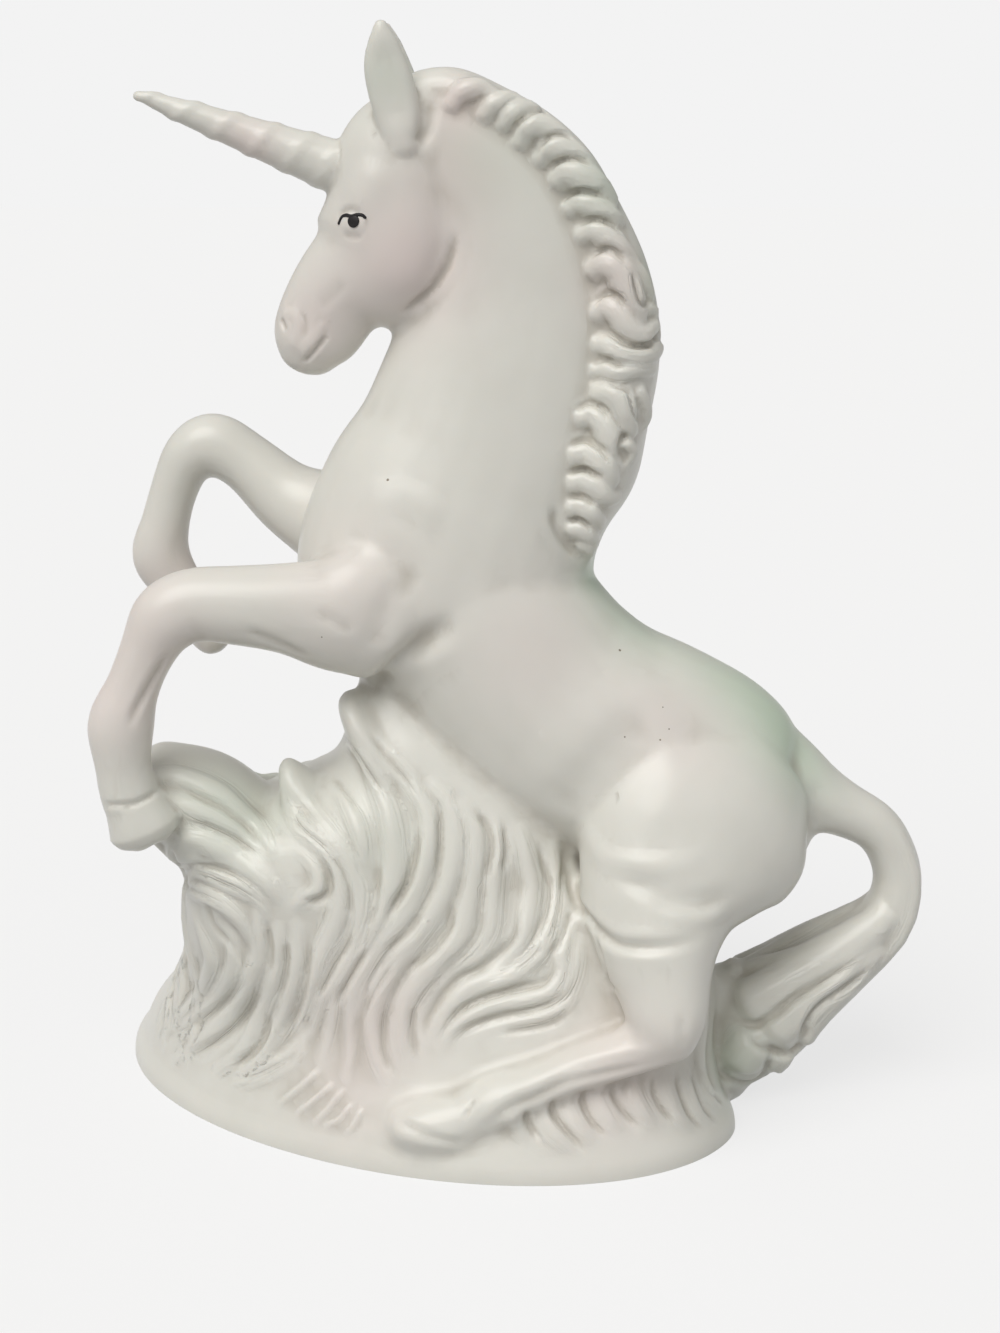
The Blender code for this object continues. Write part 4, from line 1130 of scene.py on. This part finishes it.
# %% Strokes in the mane
MANE_STROKES = (
    (0.8, -0.5, (15.4, 193.4), (16.2, 195.6), (18, 197.4), (20.6, 198.6), (23, 197.6)),
    (0.8, -0.6, (19.8, 190.6), (21.2, 192.6), (22.8, 194.2), (25.4, 194.4), (28, 192.8)),
    (0.8, -0.6, (23, 187.4), (23.8, 189.2), (25.6, 190.1), (28.4, 190), (31, 188.4)),
    (0.9, -0.7, (25.2, 181.8), (26.2, 183.5), (28.2, 184.5), (31, 184), (33.5, 183.2)),
    (0.9, -0.7, (28, 177), (29.2, 178.6), (31.2, 179.3), (33.6, 178.6), (36.4, 176.6)),
    (0.9, -0.7, (30.2, 171.4), (31.2, 172.8), (33.2, 173.9), (35.4, 173.1), (37.6, 170.6)),
    (0.9, -0.7, (31, 163), (32.2, 164.8), (34, 165.7), (35.8, 164.9), (37, 162.6)),
    (0.9, -0.8, (38, 170.4), (39, 167), (39.7, 164.5), (40.6, 163.5), (41.6, 164.2)),
    (0.9, -0.8, (31.3, 157.8), (33, 158.6), (35, 157.6), (37, 156.3), (39.5, 155.8), (41.6, 156.3),
     (43.2, 158), (43.8, 160)),
    (0.9, -0.6, (30.7, 151.7), (32, 152.8), (33.8, 153.2), (35.6, 152.2), (38, 151.6)),
    (0.9, -0.6, (31.3, 148.2), (33.5, 149), (35.6, 148.3), (37.6, 147.4), (38.4, 145.6), (39, 143.6),
     (40, 141)),
    (0.9, -0.5, (27.8, 142.8), (29, 144.3), (30.8, 144.9), (33, 143.8), (34.2, 141.4)),
    (0.9, -0.7, (26.2, 135.9), (27.5, 137.2), (29.5, 137.9), (31.6, 137), (33.4, 135.6), (34.9, 133)),
    (1.2, -0.7, (37, 138.6), (36.5, 136.6), (37.4, 134.6)),
    (0.9, -0.7, (25.9, 131.2), (27.5, 132), (29.5, 132.4), (31.6, 131.5), (34, 130.4)),
    (0.8, -0.6, (26.2, 126.9), (28, 127.1), (30.2, 126.5), (31.6, 124.6)),
    (0.8, -0.6, (26.4, 121.8), (28.2, 122.7), (29.9, 121.8), (31, 120.2)),
    # the mane's own edge on the neck, low down
    (1.4, -0.7, (23.4, 126), (24.2, 121.8), (25.6, 118.8), (27.6, 116.6), (29.6, 115.4)),
)
work(sculpture, MANE_STROKES, -9.0, "mane")

# %% Strokes on the tail
TAIL_STROKES = (
    (1.2, -0.9, (88, 29), (80, 23.4), (75, 20), (70, 15.5), (66, 14), (60, 16)),
    (1.1, -0.8, (65, 13.4), (67, 10), (70, 8.5), (74, 7.5), (77.5, 11)),
    (1.2, -0.9, (92, 28), (85, 22), (80, 18), (77.5, 14), (77, 11), (75.5, 8)),
    (1.0, -0.6, (60, 10), (59, 6), (60, 3), (63, 1), (66, 1), (69, 3), (69.5, 6), (68, 9)),
    (0.9, -0.4, (70, 2), (71.6, 3.6), (73, 6)),
)
work(sculpture, TAIL_STROKES, 0.0, "tail")

# %% [markdown]
# ## Trimming to weight
#
# The melted skin has far more faces than the shape needs. Decimate keeps them where it bends
# and spends few where it is flat. Then the part that hangs below the foot is cut away, and the
# cut is closed with one flat face.

# %% Thin out and cut flat
MOST_TRIANGLES = 196000
SHARPEST_SMOOTH = math.radians(60)


def triangle_count(obj):
    """How many triangles the object's faces make."""
    return sum(len(polygon.vertices) - 2 for polygon in obj.data.polygons)


pick(sculpture)
triangles = triangle_count(sculpture)
if triangles > MOST_TRIANGLES:
    finish_with(sculpture, "DECIMATE", ratio=MOST_TRIANGLES / triangles, use_collapse_triangulate=True)
bpy.ops.object.mode_set(mode="EDIT")
bpy.ops.mesh.select_all(action="SELECT")
bpy.ops.mesh.bisect(plane_co=(0, 0, 0), plane_no=(0, 0, 1), use_fill=True, clear_inner=True,
                    threshold=1e-6)
bpy.ops.mesh.select_all(action="SELECT")
bpy.ops.mesh.normals_make_consistent(inside=False)
bpy.ops.object.mode_set(mode="OBJECT")
pick(sculpture)
bpy.ops.object.shade_smooth_by_angle(angle=SHARPEST_SMOOTH)
print("triangles kept:", triangle_count(sculpture))

# %% [markdown]
# ## Painted shade and pearl tints
#
# Fired bisque isn't one flat white. Shade is painted into the hollows, darker the deeper they
# are, and a thin pearl lustre gives a breath of pink on some forms and of green on others; the
# green on the back, rump and crest also paints the shade where they turn away from the light.
# Three values are stored on every point of the skin, so the material can read them: how hollow
# it is there, for the painted shade, how pink and how green. A point is hollow where smoothing
# would lift it, and the further the more. Few passes of smoothing find the narrow creases, and
# many find the wide valleys.

# %% Where the skin is hollow, for the painted shade
# Passes of smoothing, the depth in mm that counts in full, and the share of painted shade it adds.
PAINTED_SHADE_PASSES = ((6, 0.14, 0.6), (30, 0.9, 0.3))


def wear_down(places, edges, passes):
    """The places after so many passes of averaging with their neighbours."""
    first, second = edges[:, 0], edges[:, 1]
    count = np.bincount(first, minlength=len(places)) + np.bincount(second, minlength=len(places))
    for _ in range(passes):
        total = np.zeros_like(places)
        for axis in range(3):
            total[:, axis] = (np.bincount(first, places[second, axis], len(places))
                              + np.bincount(second, places[first, axis], len(places)))
        places = 0.5 * places + 0.5 * total / np.maximum(count, 1)[:, None]
    return places


def store(mesh, name, values):
    """Keep one number for each vertex under a name."""
    attribute = mesh.attributes.new(name, "FLOAT", "POINT")
    attribute.data.foreach_set("value", np.clip(values, 0, 1).astype(np.float32))


mesh = sculpture.data
places = read_vectors(mesh, "co")
normals = read_vectors(mesh, "normal")
edges = np.empty(len(mesh.edges) * 2, dtype=int)
mesh.edges.foreach_get("vertices", edges)
edges = edges.reshape(-1, 2)
painted_shade = np.zeros(len(places))
worn = places
done = 0
for passes, depth_mm, share in PAINTED_SHADE_PASSES:
    worn = wear_down(worn, edges, passes - done)
    done = passes
    depth = ((worn - places) * normals).sum(axis=1) / (depth_mm * MM)
    painted_shade += share * np.clip(depth, 0, 1)
store(mesh, "painted_shade", painted_shade)
print("hollow points:", int((painted_shade > 0.3).sum()), "of", len(places))


# %% Where the pearl is pink and green, the green partly painted shade
def patches(places, spots):
    """How strongly spots of (x, y, z, radius in mm, strength) cover each place."""
    total = np.zeros(len(places))
    for x, y, z, radius, strength in spots:
        gap = np.linalg.norm(places / MM - np.array((x, y, z)), axis=1) / radius
        total += strength * np.exp(-gap ** 2)
    return total


# x, y, z and radius in mm, and strength, on the near side. The far side repeats them.
PINK_SPOTS = (
    (-4, -10, 172, 13, 0.75), (-22, -6, 160, 9, 0.5), (5, -9, 190, 9, 0.5), (6, -7, 200, 5, 0.7),
    (-52, -18, 104, 12, 0.6), (-60, -18, 88, 9, 0.7), (-20, -38, 18, 12, 0.7), (-34, -4, 192, 6, 0.6),
    (48, -24, 88, 12, 0.45), (-16, -20, 112, 14, 0.35), (36, -10, 168, 8, 0.5), (40, -35, 24, 12, 0.4),
    (20, -22, 100, 14, 0.3), (-10, -34, 30, 12, 0.4), (30, -30, 12, 12, 0.35),
)
# The green on the back, rump and crest is painted shade where they turn away from the light, on top of a
# pearl tint.
GREEN_AND_SHADE_SPOTS = (
    (72, -8, 86, 13, 0.9), (60, -6, 96, 11, 0.6), (40, -4, 103, 10, 0.7), (30, -3, 112, 6, 1.0),
    (76, -12, 76, 10, 0.6), (34, -5, 186, 7, 0.5), (41, -4, 168, 6, 0.5), (-38, -16, 68, 12, 0.35),
    (-8, -16, 60, 10, 0.3), (-58, 14, 104, 9, 0.5), (60, -14, 10, 10, 0.4), (10, -14, 192, 10, 0.35),
    (-48, -30, 26, 10, 0.3), (-47, 18, 128, 10, 0.3), (-8, -7, 205, 5, 0.3),
)

mirrored = np.column_stack((places[:, 0], -np.abs(places[:, 1]), places[:, 2]))
for name, spots in (("pink", PINK_SPOTS), ("green_and_shade", GREEN_AND_SHADE_SPOTS)):
    store(mesh, name, patches(mirrored, spots))
    print(name, "spots:", len(spots))

# %% [markdown]
# ## Which way the hair is combed
#
# Blades and locks carry fine lines along their length, finer than the skin's faces can hold.
# Each point of the skin keeps how far it lies across and along its nearest strand, so the
# material can draw lines that follow the hair. The lines end before a strand's ends and before
# the next strand, because two sets of lines that meet there would look like a crack.

# %% Points along the strands
COMB_STEP = 0.5
COMB_OFFSET = 37.0
COMB_FADE = 4.0

rows = []
for number, (line, radii) in enumerate(grass_paths + tail_paths + mane_paths):
    line = np.array(line) / MM
    travelled = run_along(line)
    even = np.arange(0.0, travelled[-1], COMB_STEP)
    dense = at_runs(line, travelled, even)
    way = np.gradient(dense, axis=0)
    way /= np.maximum(np.linalg.norm(way, axis=1), 1e-9)[:, None]
    wide = np.interp(even, travelled, np.array(radii) / MM)
    fade = np.clip(np.minimum(even, travelled[-1] - even) / COMB_FADE, 0, 1)
    rows.append(np.column_stack((dense, way, even + COMB_OFFSET * number, wide, fade,
                                 np.full(len(even), number))))
comb_points = np.concatenate(rows)
finder = KDTree(len(comb_points))
for index, spot in enumerate(comb_points[:, :3]):
    finder.insert(spot, index)
finder.balance()
print("points along the strands:", len(comb_points))

# %% Combing
COMB_LOOK = 14
COMB_REACH = 1.7
COMB_FREE = 0.9

strand_of = comb_points[:, 9]
closest = np.zeros(len(places), dtype=int)
room = np.full(len(places), COMB_FREE)
for index, place in enumerate(places / MM):
    found = finder.find_n(place, COMB_LOOK)
    closest[index] = found[0][1]
    others = [gap for _, spot, gap in found if strand_of[spot] != strand_of[found[0][1]]]
    if others:
        room[index] = others[0] - found[0][2]
own = comb_points[closest]
away = places / MM - own[:, :3]
across = (away * np.cross(own[:, 3:6], normals)).sum(axis=1)
along, wide, fade = own[:, 6:9].T
cover = np.clip(2 - 2 * np.linalg.norm(away, axis=1) / (COMB_REACH * wide), 0, 1)
cover *= np.clip(room / COMB_FREE, 0, 1) * fade
comb = mesh.attributes.new("comb", "FLOAT_VECTOR", "POINT")
comb.data.foreach_set("vector", np.column_stack((across, along, cover)).astype(np.float32).ravel())
print("combed points:", int((cover > 0.5).sum()))

# %% [markdown]
# ## Materials
#
# ** Bisque porcelain**, polished and with a trace of pearl lustre: a warm off-white body that
# light enters a little, a satin surface, faint clouds of tone a centimetre across, painted shade in
# the hollows and on the edges that turn from the light, fine combed lines in the hair and grass, and
# pin holes where a bubble broke in the slip, each a dot of painted shade. The eye is **black
# brush paint**, glossier than the clay and slightly streaky.


# %% Colours and nodes
def srgb(code):
    """Turn a hex colour into the linear one that shaders use."""
    channels = [int(code[start:start + 2], 16) / 255 for start in (1, 3, 5)]
    return [value / 12.92 if value <= 0.04045 else ((value + 0.055) / 1.055) ** 2.4
            for value in channels] + [1.0]


def node(tree, kind, links=None, **settings):
    """Add a node, set its properties, then link or set its inputs by name or by place."""
    made = tree.nodes.new(kind)
    for name, value in settings.items():
        setattr(made, name, value)
    for name, value in (links or {}).items():
        if isinstance(value, bpy.types.NodeSocket):
            tree.links.new(value, made.inputs[name])
        else:
            made.inputs[name].default_value = value
    return made


def new_material(name):
    """A new material with its shader node."""
    material = bpy.data.materials.new(name)
    material.use_nodes = True
    return material, material.node_tree, material.node_tree.nodes["Principled BSDF"]


def dress(obj, material):
    """Give the object this material alone."""
    obj.data.materials.clear()
    obj.data.materials.append(material)


print("off-white in linear light:", [round(value, 3) for value in srgb("#E5E4DD")])

# %% Bisque porcelain: its colour
CLOUD_MM = 14.0
# Strength of each tint and its colour at full strength. The last is painted shade in the hollows, and the
# green also paints shade on the edges that turn from the light.
TINTS_AND_SHADE = (("pink", 0.75, "#E6D3D1"), ("green_and_shade", 0.8, "#B9CCB6"), ("painted_shade", 0.55, "#A29A8B"))

bisque, tree, shader = new_material("bisque_porcelain")
where = node(tree, "ShaderNodeTexCoord").outputs["Object"]
clouds = node(tree, "ShaderNodeTexNoise",
              {"Vector": where, "Scale": 1 / (CLOUD_MM * MM), "Detail": 3.0, "Roughness": 0.5}
              ).outputs["Fac"]
body = node(tree, "ShaderNodeMix", {0: clouds, 6: srgb("#D9D8D0"), 7: srgb("#E5E4DD")},
            data_type="RGBA").outputs[2]
for name, strength, colour in TINTS_AND_SHADE:
    value = node(tree, "ShaderNodeAttribute", attribute_name=name).outputs["Fac"]
    share = node(tree, "ShaderNodeMath", {0: value, 1: strength}, operation="MULTIPLY")
    body = node(tree, "ShaderNodeMix", {0: share.outputs[0], 6: body, 7: srgb(colour)},
                data_type="RGBA").outputs[2]
print("tints over the body colour:", len(TINTS_AND_SHADE))

# %% Bisque porcelain: its pin holes, as dots of painted shade
# x and z in mm on the plane y = -14, and radius in mm. The holes are not cut into the skin; each is a dark
# dot of painted shade.
PIN_HOLES = (
    (-7.7, 131.2, 0.26), (36.6, 98, 0.26), (37.8, 80.6, 0.16), (44.7, 80, 0.18), (45.1, 86.6, 0.14),
    (46.4, 82.2, 0.15), (-20.8, 100.6, 0.14),
)
PIN_HOLE_PLANE = -14.0

skin = Skin(sculpture)
for x, z, radius in PIN_HOLES:
    gap = node(tree, "ShaderNodeVectorMath", {0: where, 1: skin.seen(x, z, PIN_HOLE_PLANE)[0]},
               operation="DISTANCE").outputs["Value"]
    inside = node(tree, "ShaderNodeMath", {0: gap, 1: radius * MM}, operation="LESS_THAN")
    body = node(tree, "ShaderNodeMix", {0: inside.outputs[0], 6: body, 7: srgb("#857A6A")},
                data_type="RGBA").outputs[2]
tree.links.new(body, shader.inputs["Base Color"])
print("pin holes:", len(PIN_HOLES))

# %% Bisque porcelain: its gloss, grain and combed lines
# Real grain is finer than 0.1 mm and combed lines about 0.4 mm apart. Both are drawn coarser, so
# that they show.
GRAIN_MM = 0.5
COMB_LINES_MM = 0.8
COMB_LENGTH_MM = 16.0
COMB_DEPTH_MM = 0.35
SMOOTHEST = 0.27
CLOUDED_SHEEN = 0.12

sheen = node(tree, "ShaderNodeMath", {0: clouds, 1: CLOUDED_SHEEN, 2: SMOOTHEST}, operation="MULTIPLY_ADD")
tree.links.new(sheen.outputs[0], shader.inputs["Roughness"])
grain = node(tree, "ShaderNodeTexNoise",
             {"Vector": where, "Scale": 1 / (GRAIN_MM * MM), "Detail": 2.0, "Roughness": 0.6})
bump = node(tree, "ShaderNodeBump",
            {"Height": grain.outputs["Fac"], "Strength": 0.08, "Distance": 0.05 * MM})
combing = node(tree, "ShaderNodeAttribute", attribute_name="comb").outputs["Vector"]
stretched = node(tree, "ShaderNodeVectorMath",
                 {0: combing, 1: (1 / COMB_LINES_MM, 1 / COMB_LENGTH_MM, 0)}, operation="MULTIPLY")
lines = node(tree, "ShaderNodeTexNoise",
             {"Vector": stretched.outputs["Vector"], "Scale": 1.0, "Detail": 1.0})
cover = node(tree, "ShaderNodeSeparateXYZ", {0: combing}).outputs["Z"]
combed_height = node(tree, "ShaderNodeMath", {0: lines.outputs["Fac"], 1: cover}, operation="MULTIPLY")
bump = node(tree, "ShaderNodeBump",
            {"Height": combed_height.outputs[0], "Strength": 1.0, "Distance": COMB_DEPTH_MM * MM,
             "Normal": bump.outputs["Normal"]})
tree.links.new(bump.outputs["Normal"], shader.inputs["Normal"])
shader.inputs["IOR"].default_value = 1.5
shader.inputs["Subsurface Weight"].default_value = 0.12
shader.inputs["Subsurface Radius"].default_value = (1.0, 0.75, 0.55)
shader.inputs["Subsurface Scale"].default_value = 1.2 * MM
dress(sculpture, bisque)
print("bisque nodes:", len(tree.nodes))

# %% Black brush paint
STREAK_MM = 0.4

paint, tree, shader = new_material("black_brush_paint")
where = node(tree, "ShaderNodeTexCoord").outputs["Object"]
streaks = node(tree, "ShaderNodeTexNoise",
               {"Vector": where, "Scale": 1 / (STREAK_MM * MM), "Detail": 2.0}).outputs["Fac"]
body = node(tree, "ShaderNodeMix", {0: streaks, 6: srgb("#141214"), 7: srgb("#2C282A")},
            data_type="RGBA").outputs[2]
tree.links.new(body, shader.inputs["Base Color"])
sheen = node(tree, "ShaderNodeMath", {0: streaks, 1: 0.15, 2: 0.42}, operation="MULTIPLY_ADD")
tree.links.new(sheen.outputs[0], shader.inputs["Roughness"])
shader.inputs["Specular IOR Level"].default_value = 0.3
print("paint nodes:", len(tree.nodes))

# %% [markdown]
# ## The eyes
#
# The eye is two touches of a brush: a round dab for the pupil, and a curved stroke for the upper
# lid that thickens in front and tapers behind. Each is a thin film that hugs the skin.

# %% Painted eyes
PUPIL = (-14.3, 178.4)
PUPIL_RADIUS = 1.2
LID_RADIUS = 0.37
PAINT_THICKNESS = 0.16
LID_SINK = 0.02
LID = ((-17.1, 177.9), (-16.5, 179.1), (-15.7, 179.5), (-14.7, 179.3), (-13.6, 179.6), (-12.6, 179.5),
       (-12, 179))

lids = []
painted = []
for side in (-1, 1):
    place, normal = skin.nearest(skin.path([PUPIL, PUPIL], side=side)[0])
    pick(camera)
    bpy.ops.mesh.primitive_uv_sphere_add(segments=32, ring_count=16, radius=1)
    pupil = bpy.context.object
    turn = normal.to_track_quat("Z", "Y").to_matrix().to_4x4()
    pupil.data.transform(Matrix.Translation(place) @ turn @ Matrix.Diagonal(
        (PUPIL_RADIUS * MM, PUPIL_RADIUS * MM, 2 * PAINT_THICKNESS * MM, 1)))
    painted.append(pupil)
    lid = skin.path(LID, steps=6, sink=LID_SINK, side=side)
    swells = [math.sin(math.pi * (0.15 + 0.7 * index / (len(lid) - 1))) for index in range(len(lid))]
    lids.append((lid, [LID_RADIUS * MM * (0.55 + 0.45 * swell) for swell in swells]))
eye_paint = join("eye_paint", painted + [strands("lid_strokes", lids)])
pick(eye_paint)
bpy.ops.object.shade_smooth()
dress(eye_paint, paint)
print("eye paint faces:", len(eye_paint.data.polygons))

# %% [markdown]
# ## Floor, backdrop and light
#
# The figure stands on a pale sweep with no horizon. To the camera the floor shows its own pale
# glow as well as the light on it, so it meets the backdrop without a line and still keeps the
# figure's shadow. To everything else it is plain matt grey, and throws no extra light.
#
# Two wide, far lamps stand for softboxes: the key from the upper left in front, and a weaker fill
# from the right. The world fills the shadows. Wide suns are used because they light the whole
# floor evenly, so only the figure's own shadow shows on it.

# %% Floor
FLOOR_GLOW = 0.715

pick(camera)
bpy.ops.mesh.primitive_plane_add(size=8, location=(0, 0, 0))
floor = bpy.context.object
floor.name = "floor"
sweep, tree, shader = new_material("pale_paper_sweep")
tree.nodes.remove(shader)
rays = node(tree, "ShaderNodeLightPath").outputs
direct = node(tree, "ShaderNodeMath", {0: rays["Is Camera Ray"], 1: rays["Is Glossy Ray"]},
              operation="MAXIMUM").outputs[0]
direct = node(tree, "ShaderNodeMath", {0: direct, 1: rays["Is Transmission Ray"]},
              operation="MAXIMUM").outputs[0]
matt = node(tree, "ShaderNodeBsdfDiffuse", {"Color": (0.42, 0.42, 0.42, 1)}).outputs[0]
dim = node(tree, "ShaderNodeBsdfDiffuse", {"Color": (0.20, 0.20, 0.20, 1)}).outputs[0]
glow = node(tree, "ShaderNodeEmission", {"Color": (1, 1, 1, 1), "Strength": FLOOR_GLOW}).outputs[0]
lit = node(tree, "ShaderNodeAddShader", {0: dim, 1: glow}).outputs[0]
choice = node(tree, "ShaderNodeMixShader", {0: direct, 1: matt, 2: lit}).outputs[0]
tree.links.new(choice, tree.nodes["Material Output"].inputs["Surface"])
dress(floor, sweep)
print("floor glows to the camera by", FLOOR_GLOW)

# %% World
AMBIENT = 0.37
BACKDROP = 0.896

world = bpy.data.worlds.new("soft_room")
bpy.context.scene.world = world
world.use_nodes = True
tree = world.node_tree
tree.nodes.clear()
rays = node(tree, "ShaderNodeLightPath").outputs
direct = node(tree, "ShaderNodeMath", {0: rays["Is Camera Ray"], 1: rays["Is Transmission Ray"]},
              operation="MAXIMUM").outputs[0]
room = node(tree, "ShaderNodeBackground", {"Color": (1.0, 0.985, 0.965, 1), "Strength": AMBIENT})
shown = node(tree, "ShaderNodeBackground", {"Color": (1, 1, 1, 1), "Strength": BACKDROP})
choice = node(tree, "ShaderNodeMixShader", {0: direct, 1: room.outputs[0], 2: shown.outputs[0]})
node(tree, "ShaderNodeOutputWorld", {"Surface": choice.outputs[0]})
print("world lights by", AMBIENT, "and shows as", BACKDROP)

# %% Lamps
# Name, the way towards it, strength, spread in degrees and colour.
LAMPS = (
    ("key_softbox", (-0.34, -0.52, 0.80), 2.05, 46, (1.0, 0.985, 0.96)),
    ("fill_softbox", (0.6, -0.8, 0.5), 0.2, 60, (0.96, 0.98, 1.0)),
)
for name, towards, strength, spread, colour in LAMPS:
    lamp = bpy.data.lights.new(name, "SUN")
    lamp.energy = strength
    lamp.angle = math.radians(spread)
    lamp.color = colour
    obj = bpy.data.objects.new(name, lamp)
    obj.rotation_euler = Vector(towards).to_track_quat("Z", "Y").to_euler()
    bpy.context.scene.collection.objects.link(obj)
bpy.context.scene.view_settings.view_transform = "Standard"
print("lamps:", [lamp[0] for lamp in LAMPS])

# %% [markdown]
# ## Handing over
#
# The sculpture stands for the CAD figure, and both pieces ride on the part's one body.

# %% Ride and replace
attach(sculpture, "root")
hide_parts("unicorn_figure")
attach(eye_paint, "root")
